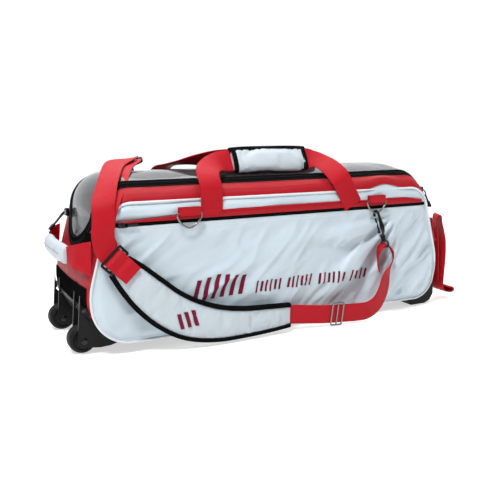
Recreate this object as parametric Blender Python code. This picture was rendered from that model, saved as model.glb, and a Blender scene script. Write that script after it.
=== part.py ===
"""Rolling tote for three bowling balls, as an assembly of its separate pieces.

Metres, +Z up. Inside the bag's own frame x runs along the bag from the wheels (-x) to the tow
strap (+x), y from the front (-y) to the rear, and z = 0 is the floor. FRAME_SHIFT then moves
that frame so that the object's box is centred on the origin.
"""
import math

import bmesh
import bpy
from mathutils import Matrix, Vector

# Driving dimensions of the bag
FRAME_SHIFT = Vector((-0.01836, 0.01728, 0.0))
HALF_WIDTH = 0.125          # seam plane of the front and rear panels
UNDERSIDE = 0.020
PANEL_TOP = 0.259
CROWN = 0.043               # rise of the domed lid above the panel tops
END_BULGE = 0.22            # the ends bulge by this share of the crown
GAP = 0.0003                # clearance between pieces that touch
SHEET = 0.0025              # thickness of the sewn fabric sheets
WAIST_X, WAIST_Z = 0.376, 0.100
FOOT_X, TOP_X = 0.362, 0.332
WHEEL_END_FOOT_X = 0.356   # the wheel end's bottom corner is cut back more

# Lid, zip and bands
LID_HALF = 0.092            # half width of the lid along the top
LID_TIP_Z = 0.180           # height of the lid's rounded tip on each end face
TIP_LENGTH = 0.115          # length of each rounded tip along the surface
BINDING_IN, BINDING_OUT = -0.008, 0.0060
TAPE_IN, TAPE_OUT = 0.0063, 0.0130
BAND_EDGE = 0.1219
LID_HINGE = Vector((0.0, 0.1035, 0.2845))

# Wheels
WHEEL_RADIUS, WHEEL_WIDTH = 0.0245, 0.030
WHEEL_X, WHEEL_Y = -0.3790, 0.077
AXLE_RADIUS, BORE_RADIUS = 0.0030, 0.0033
FORK_PLATE = 0.0045
FORK_INNER = 0.0172         # from the wheel's middle to a fork plate

# Webbing and hardware
HANDLE_WEB = 0.042
STRAP_WEB, WEB_THICK = 0.038, 0.0022
HANDLE_HINGE_Y, HANDLE_HINGE_Z = 0.1345, 0.2635
RING_X, RING_BAR_Y, RING_BAR_Z = 0.200, 0.1390, 0.2365
RING_HALF, RING_DROP, WIRE = 0.0225, 0.0245, 0.0018
RING_SINK = 0.0080           # the ring that the strap pulls up has its bar this much lower
TAB_WIDTH, TAB_THICK = 0.0400, 0.0014
POCKET_ZIP_Z = 0.2235
POCKET_SLIDER_X = -0.318


def clear_scene():
    for thing in list(bpy.data.objects):
        bpy.data.objects.remove(thing, do_unlink=True)


def make_material(name, colour, roughness, metallic=0.0, alpha=1.0):
    material = bpy.data.materials.new(name)
    material.use_nodes = True
    shader = material.node_tree.nodes["Principled BSDF"]
    shader.inputs["Base Color"].default_value = (*colour, 1.0)
    shader.inputs["Roughness"].default_value = roughness
    shader.inputs["Metallic"].default_value = metallic
    shader.inputs["Alpha"].default_value = alpha
    return material


FINISHES = {
    "white_nylon": ((0.62, 0.68, 0.74), 0.55, 0.0),
    "red_nylon": ((0.52, 0.015, 0.02), 0.65, 0.0),
    "red_web": ((0.60, 0.012, 0.016), 0.6, 0.0),
    "black_fabric": ((0.02, 0.02, 0.022), 0.7, 0.0),
    "piping": ((0.75, 0.78, 0.82), 0.4, 0.0),
    "clear_vinyl": ((0.75, 0.72, 0.68), 0.12, 0.0),
    "black_plastic": ((0.018, 0.018, 0.02), 0.45, 0.0),
    "tyre": ((0.03, 0.03, 0.032), 0.6, 0.0),
    "steel": ((0.35, 0.34, 0.33), 0.3, 1.0),
    "foam": ((0.10, 0.10, 0.11), 0.9, 0.0),
    "board": ((0.05, 0.05, 0.055), 0.6, 0.0),
}


def add_node(name, bm, finish, origin=Vector((0.0, 0.0, 0.0)), sharp=35.0):
    """One named object from a closed bmesh given in the bag's frame, with its own material."""
    bmesh.ops.recalc_face_normals(bm, faces=bm.faces)
    bmesh.ops.translate(bm, verts=bm.verts, vec=-origin)
    mesh = bpy.data.meshes.new(name)
    bm.to_mesh(mesh)
    bm.free()
    mesh.shade_smooth()
    mesh.set_sharp_from_angle(angle=math.radians(sharp))
    node = bpy.data.objects.new(name, mesh)
    bpy.context.collection.objects.link(node)
    node.location = origin
    node.parent = BAG_FRAME
    colour, roughness, metallic = FINISHES[finish]
    alpha = 0.35 if finish == "clear_vinyl" else 1.0
    mesh.materials.append(make_material(name, colour, roughness, metallic, alpha))
    return node


# Outline of the loaf-shaped side panels, and the skin that runs round it

def rounded_outline(corners, steps):
    """Counter-clockwise outline (x, z) whose corners (x, z, radius) are arcs."""
    points = []
    for i, (x, z, radius) in enumerate(corners):
        here = Vector((x, z))
        back = (Vector(corners[i - 1][:2]) - here).normalized()
        ahead = (Vector(corners[(i + 1) % len(corners)][:2]) - here).normalized()
        half = back.angle(ahead) / 2
        centre = here + (back + ahead).normalized() * (radius / math.sin(half))
        spoke = here + back * (radius / math.tan(half)) - centre
        for k in range(steps + 1):
            turn = (math.pi - 2 * half) * k / steps
            points.append(centre + Matrix.Rotation(turn, 2) @ spoke)
    return points


PANEL_CORNERS = [
    (-WHEEL_END_FOOT_X, UNDERSIDE, 0.070), (FOOT_X, UNDERSIDE, 0.050), (WAIST_X, WAIST_Z, 0.120),
    (TOP_X, PANEL_TOP, 0.048), (-TOP_X, PANEL_TOP, 0.048), (-WAIST_X, WAIST_Z, 0.120),
]


def panel_outline(inset, steps=5):
    """The side panel's outline, pulled in by inset."""
    shape = rounded_outline(PANEL_CORNERS, steps)
    result = []
    for i, here in enumerate(shape):
        along = (shape[(i + 1) % len(shape)] - shape[i - 1]).normalized()
        result.append(here - Vector((along.y, -along.x)) * inset)
    return result


def outline_table():
    """(s, point, outward normal) round the outline; s = 0 at the top middle, + to the right."""
    shape = rounded_outline(PANEL_CORNERS, 16)
    shape = [shape[(i + 17 * 4) % len(shape)] for i in range(len(shape))]
    shape = list(reversed(shape))
    top = min(range(len(shape)), key=lambda i: (abs(shape[i].y - PANEL_TOP) > 1e-6, -shape[i].x))
    shape = shape[top:] + shape[:top]
    shape = [Vector((0.0, PANEL_TOP))] + shape + [Vector((0.0, PANEL_TOP))]
    table, walked = [], 0.0
    for i, here in enumerate(shape):
        if i:
            walked += (here - shape[i - 1]).length
        ahead = shape[min(i + 1, len(shape) - 1)]
        behind = shape[max(i - 1, 0)]
        along = (ahead - behind).normalized()
        table.append((walked, here, Vector((-along.y, along.x))))
    return table


TABLE = outline_table()
GIRTH = TABLE[-1][0]


def outline_at(s):
    """Point and outward normal of the outline at distance s from the top middle."""
    s = s % GIRTH
    for (s0, p0, n0), (s1, p1, n1) in zip(TABLE, TABLE[1:]):
        if s <= s1 and s1 > s0:
            share = (s - s0) / (s1 - s0)
            return p0.lerp(p1, share), n0.lerp(n1, share).normalized()
    return TABLE[-1][1], TABLE[-1][2]


def s_at_height(z, side=1):
    """Distance s at which an end face is at height z; side is 1 for the right-hand end."""
    low, high = 0.30, 0.60
    for _ in range(40):
        middle = (low + high) / 2
        if outline_at(side * middle)[0].y > z:
            low = middle
        else:
            high = middle
    return low


def skin_point(s, y, lift=0.0):
    """Point of the bag's crowned skin at distance s round the outline and at depth y."""
    point, normal = outline_at(s)
    share = min(abs(y) / HALF_WIDTH, 1.0)
    if normal.y > 0:
        strength = END_BULGE + (1 - END_BULGE) * normal.y ** 2
    else:
        strength = END_BULGE * (1 + normal.y) ** 2
    rise = CROWN * strength * math.sqrt(1 - share ** 2) + lift
    return Vector((point.x + normal.x * rise, y, point.y + normal.y * rise))


# Mesh builders

def grid_shell(outer, inner, closed=False):
    """Closed shell between two grids of points; closed joins the last row to the first."""
    bm = bmesh.new()
    top = [[bm.verts.new(p) for p in row] for row in outer]
    low = [[bm.verts.new(p) for p in row] for row in inner]
    rows, columns = len(outer), len(outer[0])
    for i in range(rows if closed else rows - 1):
        k = (i + 1) % rows
        for j in range(columns - 1):
            bm.faces.new((top[i][j], top[k][j], top[k][j + 1], top[i][j + 1]))
            bm.faces.new((low[i][j], low[i][j + 1], low[k][j + 1], low[k][j]))
        bm.faces.new((top[i][0], low[i][0], low[k][0], top[k][0]))
        bm.faces.new((top[i][-1], top[k][-1], low[k][-1], low[i][-1]))
    if not closed:
        for j in range(columns - 1):
            bm.faces.new((top[0][j], top[0][j + 1], low[0][j + 1], low[0][j]))
            bm.faces.new((top[-1][j], low[-1][j], low[-1][j + 1], top[-1][j + 1]))
    return bm


def skin_sheet(rows, lift, thickness=SHEET):
    """Sheet on the bag's skin; rows holds lists of (s, y)."""
    outer = [[skin_point(s, y, lift) for s, y in row] for row in rows]
    inner = [[skin_point(s, y, lift - thickness) for s, y in row] for row in rows]
    return grid_shell(outer, inner)


def prism(outline, y_low, y_high):
    """Outline (x, z) extruded along y."""
    bm = bmesh.new()
    face = bm.faces.new([bm.verts.new((p[0], y_low, p[1])) for p in outline])
    grown = bmesh.ops.extrude_face_region(bm, geom=[face])
    moved = [v for v in grown["geom"] if isinstance(v, bmesh.types.BMVert)]
    bmesh.ops.translate(bm, verts=moved, vec=(0.0, y_high - y_low, 0.0))
    return bm


def block(low, high, bevel=0.0, segments=2):
    bm = bmesh.new()
    bmesh.ops.create_cube(bm, size=1.0)
    size = Vector(high) - Vector(low)
    bmesh.ops.scale(bm, verts=bm.verts, vec=size)
    bmesh.ops.translate(bm, verts=bm.verts, vec=(Vector(high) + Vector(low)) / 2)
    if bevel:
        bmesh.ops.bevel(bm, geom=bm.edges[:], offset=bevel, segments=segments,
                        affect="EDGES", profile=0.5)
    return bm


def turned(profile, centre, axis="Y", steps=32):
    """Ring or disc from a closed profile of (radius, along) turned round an axis."""
    bm = bmesh.new()
    rings = []
    for k in range(steps):
        angle = 2 * math.pi * k / steps
        ring = []
        for radius, along in profile:
            a, b = radius * math.cos(angle), radius * math.sin(angle)
            local = Vector((a, along, b)) if axis == "Y" else Vector((a, b, along))
            ring.append(bm.verts.new(centre + local))
        rings.append(ring)
    for k in range(steps):
        one, two = rings[k], rings[(k + 1) % steps]
        for j in range(len(profile)):
            n = (j + 1) % len(profile)
            bm.faces.new((one[j], one[n], two[n], two[j]))
    bmesh.ops.remove_doubles(bm, verts=bm.verts, dist=1e-7)
    return bm


def smooth_path(points, per_span=4):
    """Catmull-Rom curve through hand-placed points of any length."""
    rows = [Vector(p) for p in points]
    ends = [rows[0] * 2 - rows[1]] + rows + [rows[-1] * 2 - rows[-2]]
    result = []
    for i in range(1, len(ends) - 2):
        a, b, c, d = ends[i - 1:i + 3]
        for k in range(per_span):
            t = k / per_span
            result.append(0.5 * (2 * b + (c - a) * t + (2 * a - 5 * b + 4 * c - d) * t ** 2
                                 + (3 * b - a - 3 * c + d) * t ** 3))
    return result + [rows[-1]]


def ribbon(path, across, width, thick=WEB_THICK):
    """Flat webbing along a path; across gives its width direction at each point."""
    corners = []
    for i, here in enumerate(path):
        along = path[min(i + 1, len(path) - 1)] - path[max(i - 1, 0)]
        side = across[i] - along * (across[i].dot(along) / along.length_squared)
        side.normalize()
        face = along.cross(side).normalized()
        half = width[i] / 2 if isinstance(width, list) else width / 2
        corners.append([here + side * half + face * thick / 2,
                        here - side * half + face * thick / 2,
                        here - side * half - face * thick / 2,
                        here + side * half - face * thick / 2])
    bm = bmesh.new()
    rings = [[bm.verts.new(p) for p in ring] for ring in corners]
    for one, two in zip(rings, rings[1:]):
        for j in range(4):
            bm.faces.new((one[j], one[(j + 1) % 4], two[(j + 1) % 4], two[j]))
    bm.faces.new(rings[0])
    bm.faces.new(list(reversed(rings[-1])))
    return bm


def tube(path, radius, sides=10, closed=False):
    """Round wire along a path."""
    bm = bmesh.new()
    count = len(path)
    rings = []
    guide = None
    for i, here in enumerate(path):
        if closed:
            along = (path[(i + 1) % count] - path[i - 1]).normalized()
        else:
            along = (path[min(i + 1, count - 1)] - path[max(i - 1, 0)]).normalized()
        if guide is None:
            guide = along.orthogonal()
        guide = (guide - along * guide.dot(along)).normalized()
        other = along.cross(guide)
        rings.append([bm.verts.new(here + (guide * math.cos(2 * math.pi * k / sides)
                                           + other * math.sin(2 * math.pi * k / sides)) * radius)
                      for k in range(sides)])
    pairs = list(zip(rings, rings[1:])) + ([(rings[-1], rings[0])] if closed else [])
    for one, two in pairs:
        for j in range(sides):
            bm.faces.new((one[j], one[(j + 1) % sides], two[(j + 1) % sides], two[j]))
    if not closed:
        bm.faces.new(rings[0])
        bm.faces.new(list(reversed(rings[-1])))
    return bm


def sleeve(sections):
    """Padded sleeve: each section is (outer loop, inner loop) of equally many points."""
    outer = [list(o) + [o[0]] for o, _ in sections]
    inner = [list(i) + [i[0]] for _, i in sections]
    bm = bmesh.new()
    loops = []
    for o, i in zip(outer, inner):
        loops.append(([bm.verts.new(p) for p in o[:-1]], [bm.verts.new(p) for p in i[:-1]]))
    count = len(loops[0][0])
    for (o1, i1), (o2, i2) in zip(loops, loops[1:]):
        for j in range(count):
            k = (j + 1) % count
            bm.faces.new((o1[j], o1[k], o2[k], o2[j]))
            bm.faces.new((i1[j], i2[j], i2[k], i1[k]))
    for o, i in (loops[0], loops[-1]):
        for j in range(count):
            k = (j + 1) % count
            bm.faces.new((o[j], o[k], i[k], i[j]))
    return bm


def join_to(node, name, bm, origin=Vector((0.0, 0.0, 0.0)), operation="UNION"):
    """Boolean of a hidden helper shape with a node."""
    helper = add_node(name, bm, "black_plastic", origin)
    helper.hide_render = True
    helper.display_type = "WIRE"
    cut = node.modifiers.new(name, "BOOLEAN")
    cut.operation = operation
    cut.object = helper
    cut.solver = "EXACT"


# The sewn shell

def tip_rows(offset, steps=9, flat=0.14):
    """(s, half width) from the straight part of the lid to its right-hand tip, grown by offset."""
    straight = s_at_height(LID_TIP_Z) - TIP_LENGTH
    rows = []
    for k in range(steps + 1):
        angle = math.pi / 2 * (1 - k / steps) + flat * k / steps
        rows.append((straight + (TIP_LENGTH + offset) * math.cos(angle),
                     (LID_HALF + offset) * math.sin(angle)))
    return rows


def lid_rows(offset):
    """(s, half width) rows from the left tip to the right tip."""
    right = tip_rows(offset)
    left = [(-s, half) for s, half in reversed(right)]
    reach = right[0][0]
    middle = [(-reach + 2 * reach * k / 8, LID_HALF + offset) for k in range(1, 8)]
    return left + middle + right


def lid_loop(offset, steps=12):
    """Points (s, y) all round the lid's edge, grown by offset."""
    reach = s_at_height(LID_TIP_Z) - TIP_LENGTH
    half = LID_HALF + offset
    points = []
    for side in (1, -1):
        for k in range(2 * steps):
            angle = math.pi / 2 - math.pi * k / (2 * steps)
            points.append((side * (reach + (TIP_LENGTH + offset) * math.cos(angle)),
                           side * half * math.sin(angle)))
        for k in range(8):
            points.append((side * (reach - 2 * reach * k / 8), -side * half))
    return points


def edge_strip(offset_in, offset_out, lift, thickness):
    """Closed strip that follows the lid's edge all round."""
    near, far = lid_loop(offset_in), lid_loop(offset_out)
    outer = [[skin_point(*a, lift), skin_point(*b, lift)] for a, b in zip(near, far)]
    inner = [[skin_point(*a, lift - thickness), skin_point(*b, lift - thickness)]
             for a, b in zip(near, far)]
    return grid_shell(outer, inner, closed=True)


def make_side_panels():
    for name, side in (("front_panel", -1), ("rear_panel", 1)):
        low, high = sorted((side * 0.1235, side * 0.1275))
        add_node(name, prism(panel_outline(0.0042), low, high), "white_nylon")
    for name, side in (("front_piping", -1), ("rear_piping", 1)):
        path = [Vector((p.x, side * HALF_WIDTH, p.y)) for p in panel_outline(0.0, 4)]
        add_node(name, tube(path, 0.0028, 8, closed=True), "piping")


def make_bands():
    """Red gusset bands between the side panels and the zip, meeting under the lid's tips."""
    seam = band_end()
    right = tip_rows(TAPE_OUT + 3 * GAP, 10, 0.02) + [(seam, 0.0003)]
    reach = right[0][0]
    rows = [(-s, half) for s, half in reversed(right)]
    rows += [(-reach + 2 * reach * k / 6, right[0][1]) for k in range(1, 6)]
    rows += right
    for name, side in (("front_top_band", -1), ("rear_top_band", 1)):
        grid = [[(s, side * (BAND_EDGE + (half - BAND_EDGE) * j / 3)) for j in range(4)]
                for s, half in rows]
        add_node(name, skin_sheet(grid, 0.0), "red_nylon")


def band_end():
    """Distance s at which the bands stop and the end panels begin."""
    return s_at_height(LID_TIP_Z) + TAPE_OUT + 0.012


def make_end_panels():
    """End panels from the bands' lower edge round the bottom corner."""
    for name, side in (("left_end_panel", -1), ("right_end_panel", 1)):
        corner = bottom_corner(side)
        start = band_end() + GAP
        rows = [[(side * (start + (corner - start) * k / 9), BAND_EDGE * (j / 4 - 1))
                 for j in range(9)] for k in range(10)]
        add_node(name, skin_sheet(rows, 0.0), "red_nylon")


def bottom_corner(side):
    """Distance s at which an end's bottom corner has run into the flat underside."""
    return s_at_height(UNDERSIDE + 0.0002, side)


def make_bottom():
    left = outline_at(-bottom_corner(-1))[0].x + 0.004
    right = outline_at(bottom_corner(1))[0].x - 0.002
    edge = BAND_EDGE
    add_node("bottom_panel",
             block((left, -edge, UNDERSIDE), (right, edge, UNDERSIDE + SHEET)), "black_fabric")
    board_low = UNDERSIDE + SHEET + GAP
    add_node("base_board", block((-0.298, -0.116, board_low), (0.300, 0.116, board_low + 0.003)),
             "board")
    cup_low = board_low + 0.003 + GAP
    profile = [(0.085, 0.0), (0.085, 0.007), (0.082, 0.0102), (0.052, 0.0102),
               (0.044, 0.006), (0.034, 0.0)]
    for name, x in (("ball_cup_left", -0.2175), ("ball_cup_middle", 0.0),
                    ("ball_cup_right", 0.2175)):
        add_node(name, turned(profile, Vector((x, 0.0, cup_low)), "Z", 24), "foam")


def make_lid():
    rows = [[(s, half * (j / 4 - 1)) for j in range(9)]
            for s, half in lid_rows(BINDING_IN - GAP)]
    hinge = LID_HINGE
    add_node("clear_lid", skin_sheet(rows, 0.0, 0.0018), "clear_vinyl", hinge)
    add_node("lid_binding", edge_strip(BINDING_IN, BINDING_OUT, 0.0006, 0.0028),
             "black_fabric", hinge)
    add_node("main_zip_tape", edge_strip(TAPE_IN, TAPE_OUT, 0.0006, 0.0022), "black_fabric")


def make_pocket():
    low_edge = POCKET_ZIP_Z - 0.0035
    shape = [p for p in panel_outline(0.010) if p.y < low_edge - 0.002]
    left = [p for p in shape if p.x < 0]
    right = [p for p in shape if p.x > 0]
    left.sort(key=lambda p: -p.y)
    right.sort(key=lambda p: p.y)
    reach = outline_at(s_at_height(low_edge))[0].x - 0.010
    outline = [(-reach, low_edge)] + left + right + [(reach, low_edge)]
    add_node("pocket_panel", prism(outline, -0.1301, -0.1278), "white_nylon")
    add_node("pocket_zip_tape", block((-0.328, -0.1306, low_edge + GAP),
                                      (0.328, -0.1278, POCKET_ZIP_Z + 0.0035)), "black_fabric")
    band_low = POCKET_ZIP_Z + 0.0035 + GAP
    add_node("pocket_zip_band", block((-0.322, -0.1298, band_low), (0.322, -0.1278, band_low + 0.012)),
             "red_nylon")


# Wheels and feet

def fork_outline():
    """Side view of a fork plate: from the bag's corner out to a round boss on the axle."""
    hub = Vector((WHEEL_X, WHEEL_RADIUS))
    boss = [hub + Vector((math.cos(a), math.sin(a))) * 0.0125
            for a in [math.radians(150 + 20 * k) for k in range(8)]]
    foot = [Vector((-0.352, 0.0100)), Vector((-0.334, 0.0110)), Vector((-0.316, 0.0160))]
    wall = []
    low, high = bottom_corner(-1) - 0.004, s_at_height(0.104, -1)
    for k in range(11):
        point = skin_point(-(low + (high - low) * k / 10), 0.055, 0.0030)
        wall.append(Vector((point.x, point.z)))
    return boss + foot + wall


def make_wheels():
    low, high = bottom_corner(-1) + 0.006, s_at_height(0.086, -1)
    rows = [[(-(low + (high - low) * k / 10), 0.116 * (j / 4 - 1))
             for j in range(9)] for k in range(11)]
    housing = add_node("wheel_housing", skin_sheet(rows, 0.0046, 0.0036), "black_plastic")
    plates = []
    for side in (-1, 1):
        for step in (-1, 1):
            middle = side * WHEEL_Y + step * (FORK_INNER + FORK_PLATE / 2)
            plates.append((middle - FORK_PLATE / 2, middle + FORK_PLATE / 2))
    outline = fork_outline()
    for i, (low, high) in enumerate(plates):
        join_to(housing, f"fork_plate_{i}", prism(outline, low, high))
    for i, side in enumerate((-1, 1)):
        bore = turned([(BORE_RADIUS, -0.035), (0.0, -0.035), (0.0, 0.035), (BORE_RADIUS, 0.035)],
                      Vector((WHEEL_X, side * WHEEL_Y, WHEEL_RADIUS)), "Y", 24)
        join_to(housing, f"axle_bore_{i}", bore, operation="DIFFERENCE")
    half = WHEEL_WIDTH / 2
    tread = [(BORE_RADIUS, -half), (0.013, -half), (0.0145, -half + 0.002),
             (0.0205, -half + 0.0015), (0.0236, -half + 0.006), (WHEEL_RADIUS, 0.0),
             (0.0236, half - 0.006), (0.0205, half - 0.0015), (0.0145, half - 0.002),
             (0.013, half), (BORE_RADIUS, half)]
    reach = FORK_INNER + FORK_PLATE + GAP
    pin = [(0.0, -reach - 0.0022), (0.004, -reach - 0.0022), (0.0058, -reach - 0.0010),
           (0.0058, -reach), (AXLE_RADIUS, -reach), (AXLE_RADIUS, reach), (0.0058, reach),
           (0.0058, reach + 0.0010), (0.004, reach + 0.0022), (0.0, reach + 0.0022)]
    for name, side in (("front", -1), ("rear", 1)):
        hub = Vector((WHEEL_X, side * WHEEL_Y, WHEEL_RADIUS))
        add_node("wheel_" + name, turned(tread, hub, "Y", 40), "tyre", hub)
        add_node("wheel_axle_" + name, turned(pin, hub, "Y", 24), "steel", hub)


def make_skid():
    """Moulded foot across the right-hand end, down to the floor."""
    outline = [(0.316, 0.0155), (0.326, 0.0), (0.364, 0.0), (0.378, 0.006), (0.3865, 0.020),
               (0.3865, 0.044)]
    corner, top = bottom_corner(1), s_at_height(0.050)
    for k in range(9):
        s = top + (corner - 0.004 - top) * k / 8
        point, normal = outline_at(s)
        outline.append((point.x + normal.x * 0.0065, point.y + normal.y * 0.0065))
    outline.append((0.316, UNDERSIDE - 0.0008))
    add_node("end_skid", prism(outline, -0.112, 0.112), "black_plastic")


# Handles

FRONT_LEFT = [  # front handle from its left anchor to the wrap: x, y, z, then its width direction
    (-0.1550, -0.1322, 0.2638, 1.0, 0.0, 0.0), (-0.1550, -0.1310, 0.2780, 1.0, 0.0, 0.0),
    (-0.1555, -0.1240, 0.2915, 1.0, 0.0, 0.0), (-0.1530, -0.1110, 0.3025, 0.97, -0.20, -0.15),
    (-0.1420, -0.0930, 0.3110, 0.75, -0.55, -0.36), (-0.1230, -0.0770, 0.3165, 0.38, -0.68, -0.63),
    (-0.1020, -0.0672, 0.3192, 0.05, -0.50, -0.86), (-0.0850, -0.0660, 0.3195, 0.0, -0.47, -0.88),
    (-0.0500, -0.0660, 0.3195, 0.0, -0.47, -0.88),
]
FRONT_RIGHT = [  # and from its right anchor, which leans in
    (0.1226, -0.1322, 0.2745, -0.87, 0.0, -0.49), (0.1178, -0.1300, 0.2835, -0.87, 0.0, -0.49),
    (0.1138, -0.1205, 0.2945, -0.87, -0.03, -0.49), (0.1095, -0.1040, 0.3055, -0.82, -0.25, -0.50),
    (0.1020, -0.0820, 0.3150, -0.48, -0.66, -0.58), (0.0890, -0.0695, 0.3185, -0.17, -0.58, -0.80),
    (0.0720, -0.0660, 0.3195, 0.0, -0.47, -0.88), (0.0400, -0.0660, 0.3195, 0.0, -0.47, -0.88),
]
REAR_LEFT = [
    (-0.1550, 0.1322, 0.2638, 1.0, 0.0, 0.0), (-0.1550, 0.1310, 0.2780, 1.0, 0.0, 0.0),
    (-0.1550, 0.1215, 0.2925, 1.0, 0.0, 0.0), (-0.1540, 0.0980, 0.3030, 1.0, 0.05, 0.0),
    (-0.1500, 0.0600, 0.3080, 0.96, 0.25, -0.05), (-0.1390, 0.0240, 0.3130, 0.75, 0.60, -0.25),
    (-0.1180, -0.0080, 0.3180, 0.35, 0.70, -0.60), (-0.0900, -0.0240, 0.3205, 0.05, 0.50, -0.86),
    (-0.0420, -0.0270, 0.3210, 0.0, 0.47, -0.88),
]
REAR_RIGHT = [(-x, y, z, -a, b, c) for x, y, z, a, b, c in REAR_LEFT]
ANCHORS = [("front", "left", -0.155, 0.0), ("front", "right", 0.1476, 0.57),
           ("rear", "left", -0.155, 0.0), ("rear", "right", 0.155, 0.0)]
WRAP_MIDDLE = Vector((-0.0040, -0.0660, 0.3195))
WRAP_HALF = 0.080
WRAP_UP = Vector((0.0, 0.47, 0.88)).normalized()


def handle_path(left, right):
    """Whole handle from its two hand-placed legs, each listed from its anchor up to the wrap."""
    rows = left + right[::-1]
    return smooth_path([row[:3] for row in rows], 3), smooth_path([row[3:] for row in rows], 3)


def flat_loop(centre, up, out, half_up, half_out, power, count=20):
    """Super-ellipse loop in the plane of up and out."""
    loop = []
    for k in range(count):
        angle = 2 * math.pi * (k + 0.5) / count
        c, s = math.cos(angle), math.sin(angle)
        a = math.copysign(abs(c) ** (2 / power), c) * half_up
        b = math.copysign(abs(s) ** (2 / power), s) * half_out
        loop.append(centre + up * a + out * b)
    return loop


def make_handles():
    for name, left, right, side in (("front_handle_web", FRONT_LEFT, FRONT_RIGHT, -1),
                                    ("rear_handle_web", REAR_LEFT, REAR_RIGHT, 1)):
        path, across = handle_path(left, right)
        hinge = Vector((0.0, side * HANDLE_HINGE_Y, HANDLE_HINGE_Z))
        add_node(name, ribbon(path, across, HANDLE_WEB), "red_web", hinge)
    out = WRAP_UP.cross(Vector((1.0, 0.0, 0.0)))
    sections = []
    for share, grow in ((-1.0, 0.90), (-0.96, 1.0), (0.96, 1.0), (1.0, 0.90)):
        centre = WRAP_MIDDLE + Vector((share * WRAP_HALF, 0.0, 0.0))
        sections.append((flat_loop(centre, WRAP_UP, out, 0.0255 * grow, 0.0105 * grow, 2.6),
                         flat_loop(centre, WRAP_UP, out, 0.0222, 0.0026, 9.0)))
    add_node("handle_wrap", sleeve(sections), "white_nylon",
             Vector((0.0, -HANDLE_HINGE_Y, HANDLE_HINGE_Z)))
    half = HANDLE_WEB / 2
    for depth, end, x, lean in ANCHORS:
        side = -1 if depth == "front" else 1
        low, high = sorted((side * 0.1305, side * 0.1332))
        slope = math.sqrt(1 + lean * lean)
        base, wide = 0.2305, half * slope
        top = HANDLE_HINGE_Z - GAP + half * lean / slope
        middle = x - lean * (top - base)
        outline = [(x - wide, base), (x + wide, base),
                   (middle + half / slope, top + half * lean / slope),
                   (middle - half / slope, top - half * lean / slope)]
        add_node(f"handle_anchor_{depth}_{end}", prism(outline, low, high), "red_web")


GRAB_ROUTE = [(0.3625, 0.1185), (0.3690, 0.1145), (0.3800, 0.1040), (0.3895, 0.0860),
              (0.3955, 0.0600), (0.3975, 0.0300), (0.3980, 0.0)]
LEAN = 0.27                 # the end faces lean in by this much for each metre of height


def end_strap(name, side, height, middle_width, seam_width):
    """Webbing across an end, sewn in at both seams and standing proud between them."""
    seam = skin_point(s_at_height(height), GRAB_ROUTE[0][1], 0.0068).x
    out = seam - GRAB_ROUTE[0][0]
    half = [Vector((side * (x + out * (y / GRAB_ROUTE[0][1]) ** 2), -y, height))
            for x, y in GRAB_ROUTE]
    path = smooth_path(half + [Vector((p.x, -p.y, p.z)) for p in reversed(half[:-1])], 3)
    shares = [min(max((abs(p.y) - 0.072) / 0.046, 0.0), 1.0) for p in path]
    widths = [middle_width + (seam_width - middle_width) * share for share in shares]
    across = [Vector((-side * LEAN * share, 0.0, 1.0)).normalized() for share in shares]
    add_node(name, ribbon(path, across, widths), "red_web")
    return path


def make_grab_handles():
    """A grab handle with a padded grip across the wheel end, and a plain one at the tow end."""
    height = 0.171
    path = end_strap("grab_strap", -1, height, 0.028, 0.054)
    sections = []
    for y, grow in ((-0.072, 0.86), (-0.068, 1.0), (-0.035, 1.0), (0.0, 1.0), (0.035, 1.0),
                    (0.068, 1.0), (0.072, 0.86)):
        near = min(path, key=lambda p: abs(p.y - y))
        centre = Vector((near.x, y, height))
        out, up = Vector((1.0, 0.0, 0.0)), Vector((0.0, 0.0, 1.0))
        sections.append((flat_loop(centre, up, out, 0.0175 * grow, 0.0115 * grow, 2.3),
                         flat_loop(centre, up, out, 0.0150, 0.0032, 9.0)))
    add_node("grab_grip", sleeve(sections), "white_nylon")
    end_strap("end_loop_strap", 1, 0.163, 0.038, 0.054)


TOW_SPOT = Vector((0.3935, -0.0930, 0.0))
TOW_OUT = Vector((0.884, -0.467, 0.0)).normalized()
TOW_HINGE = TOW_SPOT + TOW_OUT * 0.0090 + Vector((0.0, 0.0, 0.1895))


def make_tow_strap():
    """Doubled webbing that hangs on the end strap, with a hand loop at the floor."""
    route = [(0.3990, -0.0935, 0.046, 0.0, 1.0), (0.3982, -0.0935, 0.075, 0.0, 1.0),
             (0.3978, -0.0937, 0.120, 0.10, 0.99), (0.3976, -0.0945, 0.150, 0.30, 0.95)]
    turn = [(0.0045, 0.1780), (0.0055, 0.1885), (0.0090, 0.1925), (0.0130, 0.1885), (0.0145, 0.1780)]
    for out, z in turn:
        spot = TOW_SPOT + TOW_OUT * out
        route.append((spot.x, spot.y, z, -TOW_OUT.y, TOW_OUT.x))
    route += [(0.4115, -0.0975, 0.158, 0.30, 0.95), (0.4160, -0.0950, 0.132, 0.10, 0.99),
              (0.4170, -0.0935, 0.095, 0.0, 1.0), (0.4158, -0.0930, 0.060, 0.0, 1.0),
              (0.4150, -0.0930, 0.038, 0.0, 1.0), (0.4172, -0.0930, 0.027, 0.0, 1.0),
              (0.4240, -0.0930, 0.0205, 0.0, 1.0), (0.4340, -0.0930, 0.0175, 0.0, 1.0),
              (0.4460, -0.0930, 0.0165, 0.0, 1.0)]
    path = smooth_path([row[:3] for row in route], 3)
    across = smooth_path([(row[3], row[4], 0.0) for row in route], 3)
    add_node("tow_strap", ribbon(path, across, 0.038, 0.0030), "red_web", TOW_HINGE)


# Rings, hooks, sliders and the shoulder strap

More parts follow.
